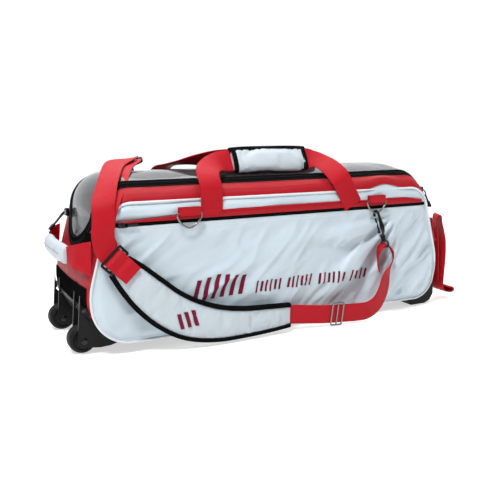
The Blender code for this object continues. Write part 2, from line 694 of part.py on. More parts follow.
def ring_path(x, y, z, drop):
    """Rounded triangle in a plane of constant y: its bar on top, its tip below (drop < 0: up)."""
    path = [Vector((x - RING_HALF, y, z)), Vector((x, y, z)), Vector((x + RING_HALF, y, z))]
    for k in range(1, 12):
        angle = math.pi * k / 12
        out = math.copysign(abs(math.cos(angle)) ** 1.25, math.cos(angle))
        path.append(Vector((x + RING_HALF * out, y,
                            z - drop * (0.10 + 0.90 * math.sin(angle) ** 1.25))))
    return path


def tab_path(y, z, side, rise):
    """Webbing folded round a ring's bar; rise is the way the tab runs from the bar (+1 up)."""
    fold, legs = 0.0032, (0.0115, 0.0060)
    path = [(y + side * fold, z + rise * leg) for leg in legs]
    for k in range(7):
        angle = math.pi * k / 6
        path.append((y + side * fold * math.cos(angle), z - rise * fold * math.sin(angle)))
    return path + [(y - side * fold, z + rise * leg) for leg in reversed(legs)]


def make_rings():
    for depth, side in (("front", -1), ("rear", 1)):
        for end, x in (("left", -RING_X), ("right", RING_X)):
            up = depth == "rear" and end == "left"
            y = side * RING_BAR_Y
            z = RING_BAR_Z - (RING_SINK if up else 0.0)
            drop = -RING_DROP if up else RING_DROP
            hinge = Vector((x, y, z))
            add_node(f"d_ring_{depth}_{end}", tube(ring_path(x, y, z, drop), WIRE, 8, True),
                     "steel", hinge)
            points = [Vector((x, py, pz)) for py, pz in tab_path(y, z, side, -1 if up else 1)]
            across = [Vector((1.0, 0.0, 0.0))] * len(points)
            add_node(f"ring_tab_{depth}_{end}", ribbon(points, across, TAB_WIDTH, TAB_THICK),
                     "red_web")


def hook_frame(end_point, aim, out):
    """Matrix with its origin in the jaw, -Z along aim to the webbing eye, Y across the jaw."""
    back = -aim.normalized()
    across = (out - back * out.dot(back)).normalized()
    rotation = Matrix((across.cross(back), across, back)).transposed().to_4x4()
    return Matrix.Translation(end_point) @ rotation


def make_hook(name, place, web_across):
    """Snap hook: a bent spine with a swivelling webbing eye, and a straight sprung gate."""
    bend = 0.0063
    frame = place @ Matrix.Scale(HOOK_SCALE, 4)
    swivel = math.atan2(web_across.dot(place.col[1].xyz), web_across.dot(place.col[0].xyz))
    turned_eye = frame @ Matrix.Rotation(swivel, 4, "Z")
    spine = [Vector((0.0, 0.0, -0.0400)), Vector((0.0, bend * 0.6, -0.0350)),
             Vector((0.0, bend, -0.0290)), Vector((0.0, bend, -0.0150)),
             Vector((0.0, bend, -0.0020))]
    for k in range(9):
        angle = math.pi * k / 8
        spine.append(Vector((0.0, bend * math.cos(angle), bend * math.sin(angle))))
    spine.append(Vector((0.0, -bend, -0.0030)))
    body = add_node(name + "_body", moved(tube(spine, 0.0019, 8), frame), "steel")
    collar = turned([(0.0, -0.0490), (0.0042, -0.0490), (0.0046, -0.0470), (0.0046, -0.0400),
                     (0.0034, -0.0370), (0.0, -0.0370)], Vector((0.0, 0.0, 0.0)), "Z", 16)
    join_to(body, name + "_collar", moved(collar, frame))
    half = [(0.0, -0.0500), (0.0222, -0.0500), (0.0235, -0.0528), (0.0235, -0.0582),
            (0.0222, -0.0610), (0.0, -0.0610)]
    eye = [Vector((x, 0.0, z)) for x, z in half + [(-x, z) for x, z in reversed(half[1:-1])]]
    join_to(body, name + "_eye", moved(tube(eye, 0.0017, 8, True), turned_eye))
    pivot = Vector((0.0, -bend, -0.0300))
    gate = tube([Vector((0.0, -bend, -0.0330)), Vector((0.0, -bend, -0.0200)),
                 Vector((0.0, -bend, -0.0062))], 0.0017, 8)
    add_node(name + "_gate", moved(gate, frame), "steel", frame @ pivot)


def moved(bm, matrix):
    bmesh.ops.transform(bm, matrix=matrix, verts=bm.verts)
    return bm


HOOK_SCALE = 1.1
FRONT_HOOK = hook_frame(Vector((RING_X, -RING_BAR_Y - 0.0008, RING_BAR_Z - RING_DROP - 0.0022)),
                        Vector((0.16, -0.32, -1.0)), Vector((0.0, -1.0, 0.0)))
FRONT_EYE = Vector((0.40, 0.92, -0.08))   # the way the webbing lies in each hook's eye
REAR_HOOK = hook_frame(Vector((-RING_X - 0.0012, RING_BAR_Y + 0.0010,
                               RING_BAR_Z - RING_SINK + RING_DROP + 0.0021)),
                       Vector((-0.26, -0.31, 0.70)), Vector((0.0, 1.0, 0.0)))
REAR_EYE = Vector((0.95, -0.10, 0.30))


def three_bar(name, centre, along, across, finish, length=0.046, height=0.026):
    """Flat strap slider: a frame with a middle bar, lying in the plane of along and across."""
    face = along.cross(across).normalized()
    thick, rim, half_bar = 0.0026, 0.0030, 0.0016
    frame = Matrix((across, along, face)).transposed().to_4x4()
    frame = Matrix.Translation(centre) @ frame
    plate = block((-length / 2, -height / 2, -thick / 2), (length / 2, height / 2, thick / 2),
                  0.0009, 1)
    body = add_node(name, moved(plate, frame), finish)
    for i, side in enumerate((-1, 1)):
        low, high = sorted((side * half_bar, side * (height / 2 - rim)))
        slot = block((-length / 2 + rim, low, -thick), (length / 2 - rim, high, thick))
        join_to(body, f"{name}_slot_{i}", moved(slot, frame), operation="DIFFERENCE")


UPPER_ROUTE = [  # rear hook, over the lid and the front corner, down to the slider
    (-0.2240, 0.1087, 0.3176, 0.93, -0.15, 0.25), (-0.2420, 0.0750, 0.3195, 0.90, -0.35, 0.05),
    (-0.2740, 0.0330, 0.3150, 0.94, 0.20, 0.0), (-0.2960, -0.0150, 0.3085, 0.94, 0.30, 0.14),
    (-0.3150, -0.0620, 0.2985, 0.92, 0.28, 0.30), (-0.3330, -0.1020, 0.2820, 0.90, 0.22, 0.38),
    (-0.3460, -0.1290, 0.2600, 0.94, 0.10, 0.30), (-0.3490, -0.1380, 0.2330, 1.0, 0.0, 0.12),
    (-0.3510, -0.1400, 0.2060, 1.0, 0.0, 0.05), (-0.3460, -0.1405, 0.1850, 0.90, 0.0, 0.40),
    (-0.3390, -0.1410, 0.1750, 0.80, 0.0, 0.60),
]
LOWER_ROUTE = [  # pad to the metal slider
    (0.0060, -0.1490, 0.0330, 0.0, 0.10, -1.0), (0.0350, -0.1530, 0.0300, 0.0, 0.12, -1.0),
    (0.0650, -0.1590, 0.0275, 0.0, 0.14, -1.0), (0.0790, -0.1615, 0.0268, 0.0, 0.15, -1.0),
]
FRONT_ROUTE = [  # metal slider, up the loose bend, through the front hook's eye and back down
    (0.1070, -0.1650, 0.0258, 0.0, 0.15, -1.0), (0.1400, -0.1700, 0.0250, 0.0, 0.16, -1.0),
    (0.1620, -0.1722, 0.0268, 0.15, 0.15, -0.98), (0.1830, -0.1715, 0.0375, 0.50, 0.20, -0.85),
    (0.1985, -0.1690, 0.0570, 0.78, 0.30, -0.50), (0.2095, -0.1640, 0.0790, 0.88, 0.42, -0.20),
    (0.2205, -0.1595, 0.0985, 0.75, 0.60, -0.05), (0.2280, -0.1610, 0.1180, 0.66, 0.74, 0.0),
    (0.2245, -0.1615, 0.1370, 0.50, 0.86, 0.0), (0.2165, -0.1600, 0.1480, 0.42, 0.90, 0.0),
    (0.2091, -0.1573, 0.1521, 0.40, 0.92, -0.08), (0.2015, -0.1548, 0.1470, 0.42, 0.90, -0.05),
    (0.1970, -0.1535, 0.1330, 0.50, 0.86, 0.0), (0.1965, -0.1535, 0.1150, 0.60, 0.78, 0.0),
    (0.2000, -0.1542, 0.1010, 0.62, 0.78, 0.0),
]
PAD_ROUTE = [  # centre line of the shoulder pad, then its width
    (-0.3270, -0.1450, 0.1580, 0.046), (-0.3060, -0.1465, 0.1350, 0.060),
    (-0.2790, -0.1480, 0.1060, 0.070), (-0.2450, -0.1490, 0.0760, 0.074),
    (-0.2050, -0.1510, 0.0530, 0.074), (-0.1550, -0.1535, 0.0395, 0.066),
    (-0.1000, -0.1530, 0.0345, 0.057), (-0.0500, -0.1510, 0.0335, 0.052),
    (-0.0050, -0.1490, 0.0335, 0.046),
]


def make_shoulder_strap():
    for name, route, thick in (("strap_upper_web", UPPER_ROUTE, 0.0040),
                               ("strap_lower_web", LOWER_ROUTE, WEB_THICK),
                               ("strap_front_web", FRONT_ROUTE, WEB_THICK)):
        path = smooth_path([row[:3] for row in route], 3)
        across = smooth_path([row[3:] for row in route], 3)
        add_node(name, ribbon(path, across, STRAP_WEB, thick), "red_web")
    path = smooth_path([row[:3] for row in PAD_ROUTE], 2)
    widths = [row[0] for row in smooth_path([(row[3], 0.0, 0.0) for row in PAD_ROUTE], 2)]
    outer = []
    for i, here in enumerate(path):
        along = (path[min(i + 1, len(path) - 1)] - path[max(i - 1, 0)]).normalized()
        face = Vector((0.0, -1.0, 0.0))
        up = face.cross(along).normalized()
        loop = flat_loop(here, up, face, widths[i] / 2, 0.0058, 4.0, 12)
        outer.append(loop)
    bm = bmesh.new()
    rings = [[bm.verts.new(p) for p in loop] for loop in outer]
    for one, two in zip(rings, rings[1:]):
        for j in range(12):
            bm.faces.new((one[j], one[(j + 1) % 12], two[(j + 1) % 12], two[j]))
    bm.faces.new(rings[0])
    bm.faces.new(list(reversed(rings[-1])))
    add_node("shoulder_pad", bm, "white_nylon")
    along = Vector((0.69, 0.0, -0.72)).normalized()
    three_bar("strap_slider", Vector((-0.3350, -0.1450, 0.1705)), along,
              Vector((0.72, 0.0, 0.69)).normalized(), "black_plastic", height=0.022)
    along = Vector((1.0, -0.10, -0.03)).normalized()
    across = Vector((0.0, 0.15, -1.0))
    across = (across - along * across.dot(along)).normalized()
    three_bar("strap_adjuster", Vector((0.0930, -0.1633, 0.0262)), along, across, "steel",
              height=0.024)


# Zip sliders and pulls

def make_zips():
    """Each slider is a small saddle; its pull is a rounded tab on a hinge."""
    ends = (("left", -1, 0.078, Vector((-0.0062, 0.0, 0.0016)), -42),
            ("right", 1, -0.088, Vector((0.0078, -0.0042, 0.0006)), -30))
    for name, side, y, offset, tilt in ends:
        spot = skin_point(side * zip_s(y), y) + offset
        slider = block((-0.0032, -0.0055, -0.0075), (0.0032, 0.0055, 0.0075), 0.0015, 2)
        add_node("main_zip_slider_" + name, moved(slider, Matrix.Translation(spot)), "steel", spot)
        hinge = spot + Vector((side * 0.0058, 0.0, 0.0))
        hang = Matrix.Translation(hinge) @ Matrix.Rotation(side * math.radians(tilt), 4, "Y")
        pull = block((-0.0010, -0.0045, -0.0420), (0.0010, 0.0045, -0.0005), 0.0009, 1)
        add_node("main_zip_pull_" + name, moved(pull, hang), "steel", hinge)
    x, z = POCKET_SLIDER_X, POCKET_ZIP_Z
    slider = block((x - 0.0060, -0.1338, z - 0.0045), (x + 0.0060, -0.1309, z + 0.0045), 0.001, 1)
    add_node("pocket_zip_slider", slider, "steel")
    pull = block((x + 0.002, -0.1352, z - 0.0035), (x + 0.028, -0.1341, z + 0.0035), 0.0004, 1)
    add_node("pocket_zip_pull", pull, "steel", Vector((x + 0.002, -0.1345, z)))


def zip_s(y):
    """Distance s at which the zip crosses depth y on the right-hand tip."""
    middle = (TAPE_IN + BINDING_OUT) / 2
    straight = s_at_height(LID_TIP_Z) - TIP_LENGTH
    share = abs(y) / (LID_HALF + middle)
    return straight + (TIP_LENGTH + middle) * math.sqrt(1 - share ** 2)


clear_scene()
BAG_FRAME = bpy.data.objects.new("bag_frame", None)
bpy.context.collection.objects.link(BAG_FRAME)
BAG_FRAME.location = FRAME_SHIFT
make_side_panels()
make_bands()
make_end_panels()
make_bottom()
make_lid()
make_pocket()
make_wheels()
make_skid()
make_handles()
make_grab_handles()
make_tow_strap()
make_rings()
make_hook("front_hook", FRONT_HOOK, FRONT_EYE)
make_hook("rear_hook", REAR_HOOK, REAR_EYE)
make_shoulder_strap()
make_zips()
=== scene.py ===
"""Looks of the rolling bowling bag: sewn cloth, webbing, pads, zips, hardware, stage and camera.

Lengths are metres in the bag's own frame: x along the bag from the wheels to the tow strap, y from
the front to the rear, z up from the floor. SHIFT moves each finished piece to where the frame is.
"""

import math

import bmesh
import bpy
from mathutils import Matrix, Vector, noise


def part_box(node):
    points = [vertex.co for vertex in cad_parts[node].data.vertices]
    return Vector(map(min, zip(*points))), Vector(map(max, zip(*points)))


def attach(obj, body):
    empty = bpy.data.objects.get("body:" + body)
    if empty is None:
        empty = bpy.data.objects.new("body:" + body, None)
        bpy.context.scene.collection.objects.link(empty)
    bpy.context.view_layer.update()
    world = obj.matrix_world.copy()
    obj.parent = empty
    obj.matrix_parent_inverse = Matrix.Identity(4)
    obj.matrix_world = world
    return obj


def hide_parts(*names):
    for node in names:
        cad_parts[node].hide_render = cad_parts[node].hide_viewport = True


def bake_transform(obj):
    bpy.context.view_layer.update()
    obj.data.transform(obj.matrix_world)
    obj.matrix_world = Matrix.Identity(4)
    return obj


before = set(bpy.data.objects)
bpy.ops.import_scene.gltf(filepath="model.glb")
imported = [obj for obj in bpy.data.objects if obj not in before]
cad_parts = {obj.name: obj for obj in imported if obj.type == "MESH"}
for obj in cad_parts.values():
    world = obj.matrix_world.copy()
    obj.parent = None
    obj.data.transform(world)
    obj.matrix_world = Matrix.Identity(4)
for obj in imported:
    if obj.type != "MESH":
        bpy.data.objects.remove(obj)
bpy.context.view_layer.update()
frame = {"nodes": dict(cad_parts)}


def middle(node):
    """Middle of a node's box."""
    low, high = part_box(node)
    return (low + high) / 2


SHIFT = Vector((middle("ball_cup_middle").x, middle("ball_cup_middle").y, 0.0))


def local(node):
    """A node's box in the bag's own frame: its lowest and highest corners."""
    low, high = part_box(node)
    return low - SHIFT, high - SHIFT


# Driving dimensions, the same as the frame's own where they are not read from it
HALF_WIDTH = -(middle("front_piping") - SHIFT).y
UNDERSIDE = local("bottom_panel")[0].z
PANEL_TOP = 0.259
CROWN, END_BULGE = 0.043, 0.22          # how far the skin swells over the top, and its share at the ends
WAIST_X, WAIST_Z = 0.376, 0.1           # the widest place of the side panels
FOOT_X, WHEEL_END_FOOT_X, TOP_X = 0.362, 0.356, 0.332
LID_HALF, LID_TIP_Z, TIP_LENGTH = 0.092, 0.18, 0.115
BINDING_IN, BINDING_OUT = -0.008, 0.006     # edges of the lid's binding and of the zip's tape,
TAPE_IN, TAPE_OUT = 0.0063, 0.013           # from the lid's own outline
BAND_EDGE = 0.1219                      # depth at which the top bands meet the piping
CLOTH = 0.0016                          # thickness of the sewn cloth
PANEL_Y, POCKET_Y = 0.124, 0.1248       # seams of the side panels and of the pocket
SEWN_Y, STITCH_Y = 0.1322, 0.1339       # webbing sewn to a panel, and the stitches on it
GUARD_HALF, GUARD_TOP = 0.112, 0.118    # cloth guard behind the wheels
WEB_THICK, HANDLE_WEB, STRAP_WEB = 0.0022, 0.042, 0.038
ZIP_Z, ZIP_HALF = 0.2235, 0.332         # height and half length of the pocket's zip
WAVE_X, WAVE_HEIGHT = 0.228, 0.0075     # where the slack top edge of the front lifts
SLACK_Y, SLACK_Z = 0.1, 0.225           # slack only in front of -SLACK_Y, above SLACK_Z
DRAPE_X, DRAPE_Z = 0.262, 0.205         # the pocket's folds fan out from here, near the front hook
PIPING = 0.0022
STITCH_LENGTH, STITCH_GAP, STITCH_RADIUS = 0.0034, 0.0016, 0.00042
STITCH_INSET = 0.0035                   # from a strap's edge to its row of stitches
THREAD = 0.0009                         # from one thread of the nylon cloth to the next
BALL_XS, BALL_Z, BALL_REACH = (-0.2175, 0.0, 0.2175), 0.135, 0.105      # what presses the cloth out
SHARP_EDGE = math.radians(40)
CLOTH_STEPS = 18                        # frames of each cloth simulation

UP = Vector((0.0, 0.0, 1.0))
FRONT = Vector((0.0, -1.0, 0.0))
ALONG = Vector((1.0, 0.0, 0.0))
FACES = (("front", -1), ("rear", 1))
ENDS = (("left", -1), ("right", 1))


# Short helpers

def spread(low, high, count):
    """Evenly spaced values from low to high, in count steps."""
    return [low + (high - low) * k / count for k in range(count + 1)]


def walked(points):
    """Distance walked along the points."""
    total = [0.0]
    for a, b in zip(points, points[1:]):
        total.append(total[-1] + (b - a).length)
    return total


def tangent(path, i, closed=False):
    """Way the path runs at its point i."""
    if closed:
        return (path[(i + 1) % len(path)] - path[i - 1]).normalized()
    return (path[min(i + 1, len(path) - 1)] - path[max(i - 1, 0)]).normalized()


def square_to(along, way):
    """The part of a way that is square to along, at length 1."""
    return (way - along * way.dot(along)).normalized()


def placed(name, data):
    """New object in the scene."""
    thing = bpy.data.objects.new(name, data)
    bpy.context.collection.objects.link(thing)
    return thing


# Materials

def add_node(tree, kind, inputs=(), **settings):
    """New shader node; an input's value is a constant or another node's socket."""
    made = tree.nodes.new("ShaderNode" + kind)
    for key, value in settings.items():
        setattr(made, key, value)
    for key, value in dict(inputs).items():
        if isinstance(value, bpy.types.NodeSocket):
            tree.links.new(value, made.inputs[key])
        else:
            made.inputs[key].default_value = value
    return made


class Finish:
    """A Principled material and short calls that add nodes to it."""

    def __init__(self, name, colour, roughness, **sockets):
        self.material = bpy.data.materials.new(name)
        self.material.use_nodes = True
        self.material.diffuse_color = (*colour, 1.0)
        self.tree = self.material.node_tree
        self.shader = self.tree.nodes["Principled BSDF"]
        self.colour = colour
        self.set("Base Color", (*colour, 1.0))
        self.set("Roughness", roughness)
        for key, value in sockets.items():
            self.set(key.replace("_", " "), value)
        self.normal = None

    def set(self, socket, value):
        self.shader.inputs[socket].default_value = value

    def node(self, kind, inputs=(), **settings):
        return add_node(self.tree, kind, inputs, **settings)

    def link(self, socket, target):
        self.tree.links.new(socket, self.shader.inputs[target])

    def noise(self, scale, detail=3.0, stretch=None):
        """Noise whose scale is how many features fit in one metre."""
        where = self.node("TexCoord").outputs["Object"]
        if stretch:
            where = self.node("Mapping", {"Vector": where, "Scale": stretch}).outputs[0]
        return self.node("TexNoise", {"Vector": where, "Scale": scale, "Detail": detail}).outputs["Fac"]

    def stripes(self, period, axis):
        """Stripes across the piece's UVs, this far apart in metres."""
        inputs = {"Vector": self.node("TexCoord").outputs["UV"], "Scale": math.pi / 10 / period}
        return self.node("TexWave", inputs, wave_type="BANDS", bands_direction=axis).outputs["Fac"]

    def maths(self, operation, one, two):
        return self.node("Math", {0: one, 1: two}, operation=operation).outputs[0]

    def weave(self, period):
        """Crossed threads of a plain weave."""
        return self.maths("MULTIPLY", self.stripes(period, "X"), self.stripes(period, "Y"))

    def shared(self, one, two, part):
        """A part of one and the rest of two."""
        return self.maths("ADD", self.maths("MULTIPLY", one, part), self.maths("MULTIPLY", two, 1 - part))

    def tint(self, fac, dark, light):
        """Base colour that varies with fac between two shares of the finish's own."""
        mix = self.node("Mix", {"Factor": fac}, data_type="RGBA")
        colours = [socket for socket in mix.inputs if socket.type == "RGBA"]
        for socket, part in zip(colours, (dark, light)):
            socket.default_value = (*(min(c * part, 1.0) for c in self.colour), 1.0)
        self.link([socket for socket in mix.outputs if socket.type == "RGBA"][0], "Base Color")

    def wear(self, fac, low, high):
        """Roughness that varies with fac from low to high."""
        ends = {"Value": fac, "To Min": low, "To Max": high}
        self.link(self.node("MapRange", ends).outputs[0], "Roughness")

    def bump(self, height, distance, strength):
        inputs = {"Height": height, "Distance": distance, "Strength": strength}
        if self.normal:
            inputs["Normal"] = self.normal
        self.normal = self.node("Bump", inputs).outputs[0]
        self.link(self.normal, "Normal")


def woven(name, colour, roughness, period=THREAD, depth=0.00012, vary=0.07, **sockets):
    """Plain-woven nylon: crossed threads, soft mottling and a faint broad rumple."""
    finish = Finish(name, colour, roughness, **sockets)
    threads = finish.weave(period)
    finish.tint(finish.shared(finish.noise(26.0, 4.0), threads, 0.7), 1 - vary, 1 + vary)
    finish.wear(finish.noise(60.0), roughness - 0.08, roughness + 0.1)
    finish.bump(finish.noise(95.0), 0.0006, 0.5)
    finish.bump(threads, depth, 0.8)
    return finish.material


def webbing(name, colour, roughness=0.55, rib=0.0017, pick=0.0013, gloss=0.16):
    """Ribbed strap webbing: cords along the strap, picks across it."""
    finish = Finish(name, colour, roughness, Specular_IOR_Level=gloss)
    weave = finish.shared(finish.stripes(rib, "Y"), finish.stripes(pick, "X"), 0.65)
    worn = finish.noise(34.0, 4.0)
    finish.tint(finish.shared(weave, worn, 0.5), 0.8, 1.16)
    finish.wear(worn, roughness - 0.1, roughness + 0.12)
    finish.bump(finish.noise(120.0, 2.0), 0.0004, 0.5)
    finish.bump(weave, 0.00028, 0.9)
    return finish.material


def moulded(name, colour, roughness, grain=900.0):
    """Moulded plastic, rubber or thread with a fine grain and scuffs."""
    finish = Finish(name, colour, roughness, Specular_IOR_Level=0.14)
    scuff = finish.noise(55.0, 5.0)
    finish.tint(scuff, 0.75, 1.5)
    finish.wear(scuff, roughness - 0.1, roughness + 0.14)
    finish.bump(finish.noise(grain, 2.0), 0.00018, 0.5)
    return finish.material


def metal(name, colour, roughness):
    """Plated metal: fine brushing, and dull patches where it has been handled."""
    finish = Finish(name, colour, roughness, Metallic=1.0)
    dull = finish.noise(140.0, 4.0)
    finish.tint(dull, 0.8, 1.15)
    finish.wear(dull, roughness - 0.08, roughness + 0.16)
    finish.bump(finish.noise(1500.0, 2.0, (1.0, 1.0, 0.15)), 0.00005, 0.4)
    return finish.material


def clear_vinyl():
    """Flexible clear vinyl: glossy, slightly milky, with shallow ripples."""
    finish = Finish("clear_vinyl", (0.36, 0.37, 0.39), 0.1, Transmission_Weight=0.9, IOR=1.22,
                    Coat_Weight=0.22, Coat_Roughness=0.05)
    finish.wear(finish.noise(18.0), 0.05, 0.22)
    finish.bump(finish.noise(14.0, 2.0), 0.004, 0.35)
    return finish.material


def printed(name, colour):
    """Screen-printed ink: a little gloss over the cloth's own weave."""
    finish = Finish(name, colour, 0.42, Specular_IOR_Level=0.12)
    finish.tint(finish.noise(180.0, 4.0), 0.82, 1.15)
    finish.bump(finish.weave(THREAD), 0.0001, 0.7)
    return finish.material


LOOKS = {       # the record's slot for each look, and its material
    "white": ("white_fabric", woven("white_nylon", (0.54, 0.63, 0.69), 0.4, Coat_Weight=0.1,
                                    Coat_Roughness=0.3)),
    # padded nylon: the pads' own white, set darker than the white nylon's as painted shade for the shade on
    # the pads
    "padding": ("white_padding", woven("padded_nylon_with_painted_shade", (0.5, 0.56, 0.605), 0.46)),
    "red": ("red_fabric", woven("red_nylon", (0.38, 0.004, 0.012), 0.5, vary=0.16,
                                Specular_IOR_Level=0.22)),
    "lining": ("black_fabric", woven("dark_lining", (0.045, 0.043, 0.045), 0.7, vary=0.2,
                                     Specular_IOR_Level=0.1)),
    "black": ("black_fabric", woven("black_binding", (0.0055, 0.0055, 0.006), 0.6, 0.0012, 0.0002,
                                    0.25, Specular_IOR_Level=0.0)),
    "web": ("red_webbing", webbing("red_webbing", (0.43, 0.005, 0.013))),
    "tape": ("zip_tape", webbing("zip_tape", (0.005, 0.005, 0.0055), 0.7, 0.0012, 0.0009, 0.0)),
    "piping": ("white_piping", woven("white_piping", (0.66, 0.7, 0.73), 0.34, 0.0015, 0.00006, 0.03)),
    "vinyl": ("clear_vinyl", clear_vinyl()),
    "plastic": ("moulded_black", moulded("black_plastic", (0.007, 0.007, 0.0075), 0.38)),
    "coil": ("zip_tape", moulded("zip_coil", (0.008, 0.008, 0.0085), 0.34, 300.0)),
    "tyre": ("wheel_tread", moulded("tyre_rubber", (0.009, 0.009, 0.0095), 0.48, 500.0)),
    "board": ("base_board", moulded("base_board", (0.04, 0.04, 0.042), 0.6, 250.0)),
    "foam": ("foam", moulded("closed_cell_foam", (0.055, 0.055, 0.06), 0.85, 380.0)),
    "steel": ("bright_steel", metal("bright_plate", (0.24, 0.235, 0.225), 0.26)),
    "gunmetal": ("dark_metal", metal("gunmetal_plate", (0.035, 0.035, 0.037), 0.3)),
    "ink": ("white_fabric", printed("dark_red_ink", (0.16, 0.006, 0.028))),
}
for shade, worn_on, colour in (("red", "red", (0.42, 0.008, 0.014)), ("dark", "red", (0.22, 0.012, 0.016)),
                               ("white", "white", (0.75, 0.77, 0.79)), ("grey", "white", (0.3, 0.32, 0.35)),
                               ("black", "black", (0.03, 0.03, 0.032))):
    LOOKS[shade + "_thread"] = (LOOKS[worn_on][0], moulded(shade + "_thread", colour, 0.5, 2000.0))


# Outline of the side panels, and the skin that runs round it

def rounded_outline(corners, steps):
    """Counter-clockwise outline (x, z) whose corners (x, z, radius) are arcs."""
    points = []
    for i, (x, z, radius) in enumerate(corners):
        here = Vector((x, z))
        back = (Vector(corners[i - 1][:2]) - here).normalized()
        ahead = (Vector(corners[(i + 1) % len(corners)][:2]) - here).normalized()
        half = back.angle(ahead) / 2
        centre = here + (back + ahead).normalized() * (radius / math.sin(half))
        spoke = here + back * (radius / math.tan(half)) - centre
        for k in range(steps + 1):
            turn = (math.pi - 2 * half) * k / steps
            points.append(centre + Matrix.Rotation(turn, 2) @ spoke)
    return points


PANEL_CORNERS = [
    (-WHEEL_END_FOOT_X, UNDERSIDE, 0.07), (FOOT_X, UNDERSIDE, 0.05), (WAIST_X, WAIST_Z, 0.12),
    (TOP_X, PANEL_TOP, 0.048), (-TOP_X, PANEL_TOP, 0.048), (-WAIST_X, WAIST_Z, 0.12),
]


def panel_outline(inset, steps=12):
    """The side panel's outline, pulled in by inset."""
    shape = rounded_outline(PANEL_CORNERS, steps)
    ways = [tangent(shape, i, closed=True) for i in range(len(shape))]
    return [here - Vector((way.y, -way.x)) * inset for here, way in zip(shape, ways)]


def outline_table():
    """(s, point, outward normal) round the outline; s = 0 at the top middle, + to the right."""
    shape = list(reversed(rounded_outline(PANEL_CORNERS, 16)))
    top = min(range(len(shape)), key=lambda i: (abs(shape[i].y - PANEL_TOP) > 1e-6, -shape[i].x))
    shape = shape[top:] + shape[:top]
    shape = [Vector((0.0, PANEL_TOP))] + shape + [Vector((0.0, PANEL_TOP))]
    ways = [tangent(shape, i) for i in range(len(shape))]
    return [(s, here, Vector((-way.y, way.x))) for s, here, way in zip(walked(shape), shape, ways)]


TABLE = outline_table()
GIRTH = TABLE[-1][0]


def outline_at(s):
    """Point and outward normal of the outline at distance s from the top middle."""
    s = s % GIRTH
    for (s0, p0, n0), (s1, p1, n1) in zip(TABLE, TABLE[1:]):
        if s <= s1 and s1 > s0:
            share = (s - s0) / (s1 - s0)
            return p0.lerp(p1, share), n0.lerp(n1, share).normalized()
    return TABLE[-1][1], TABLE[-1][2]


def s_at_height(z, side=1):
    """Distance s at which an end face is at height z; side is 1 for the right-hand end."""
    low, high = 0.3, 0.6
    for _ in range(40):
        half = (low + high) / 2
        if outline_at(side * half)[0].y > z:
            low = half
        else:
            high = half
    return low


def skin_point(s, y, lift=0.0):
    """Point of the bag's crowned skin at distance s round the outline and at depth y."""
    point, normal = outline_at(s)
    share = min(abs(y) / HALF_WIDTH, 1.0)
    if normal.y > 0:
        strength = END_BULGE + (1 - END_BULGE) * normal.y ** 2
    else:
        strength = END_BULGE * (1 + normal.y) ** 2
    rise = CROWN * strength * math.sqrt(1 - share ** 2) + lift
    return Vector((point.x + normal.x * rise, y, point.y + normal.y * rise))


def smooth(share):
    """Smooth step from 0 to 1."""
    share = min(max(share, 0.0), 1.0)
    return share * share * (3 - 2 * share)


def settle(p):
    """Slack in the front's top edge: a shallow wave that piping, band and panel share."""
    if p.y > -SLACK_Y or p.z < SLACK_Z:
        return p
    lift = WAVE_HEIGHT * math.exp(-((p.x - WAVE_X) / 0.03) ** 2)
    lift -= 0.35 * WAVE_HEIGHT * math.exp(-((p.x - WAVE_X - 0.06) / 0.028) ** 2)
    lift += 0.0012 * math.sin(p.x * 31.0)
    near_edge = smooth((-p.y - SLACK_Y) / 0.022) * smooth((p.z - SLACK_Z - 0.003) / 0.028)
    return p + Vector((0.0, 0.0, lift * near_edge))


# Cloth folds

def ridged(x, z, seed):
    """Sharp-topped noise from 0 to 1."""
    return (1 - abs(noise.noise(Vector((x, z, seed))))) ** 4


def folds(x, z, seed, size, lean, stretch=3.2):
    """Soft folds that run at an angle of lean: broad swells with a few crisp creases."""
    c, s = math.cos(lean), math.sin(lean)
    along, across = (x * c + z * s) / (size * stretch), (z * c - x * s) / size
    bend = 0.7 * noise.noise(Vector((x / 0.11, z / 0.11, seed + 5.0)))
    swell = noise.noise(Vector((along, across + bend, seed)))
    crease = ridged(along * 1.4, across * 1.5 + bend, seed + 11.0)
    fine = noise.noise(Vector((along * 3.1, across * 3.4 + bend, seed + 23.0)))
    return 0.55 * swell + 0.42 * (crease - 0.45) + 0.16 * fine


# Mesh builders

def smooth_path(points, per_span):
    """Catmull-Rom curve through given points of any length."""
    rows = [Vector(p) for p in points]
    ends = [rows[0] * 2 - rows[1]] + rows + [rows[-1] * 2 - rows[-2]]
    result = []
    for i in range(1, len(ends) - 2):
        a, b, c, d = ends[i - 1:i + 3]
        for k in range(per_span):
            t = k / per_span
            result.append(0.5 * (2 * b + (c - a) * t + (2 * a - 5 * b + 4 * c - d) * t ** 2
                                 + (3 * b - a - 3 * c + d) * t ** 3))
    return result + [rows[-1]]


def loft(rings, round_path=False, caps=True, bm=None):
    """Surface through rings of points, with UVs in metres along (u) and across (v)."""
    if bm is None:
        bm = bmesh.new()
    uv = bm.loops.layers.uv.verify()
    verts = [[bm.verts.new(p) for p in ring] for ring in rings]
    m, n = len(rings), len(rings[0])
    side = walked([ring[0] for ring in rings] + ([rings[0][0]] if round_path else []))
    wide = max(rings, key=lambda ring: walked(ring)[-1])
    across = walked(list(wide) + [wide[0]])
    for i in range(m if round_path else m - 1):
        for j in range(n):
            k, h = (i + 1) % m, (j + 1) % n
            face = bm.faces.new((verts[i][j], verts[i][h], verts[k][h], verts[k][j]))
            spots = ((i, j), (i, j + 1), (i + 1, j + 1), (i + 1, j))
            for loop, (a, b) in zip(face.loops, spots):
                loop[uv].uv = (side[a], across[b])
    if caps and not round_path:
        bm.faces.new(verts[0])
        bm.faces.new(list(reversed(verts[-1])))
    return bm


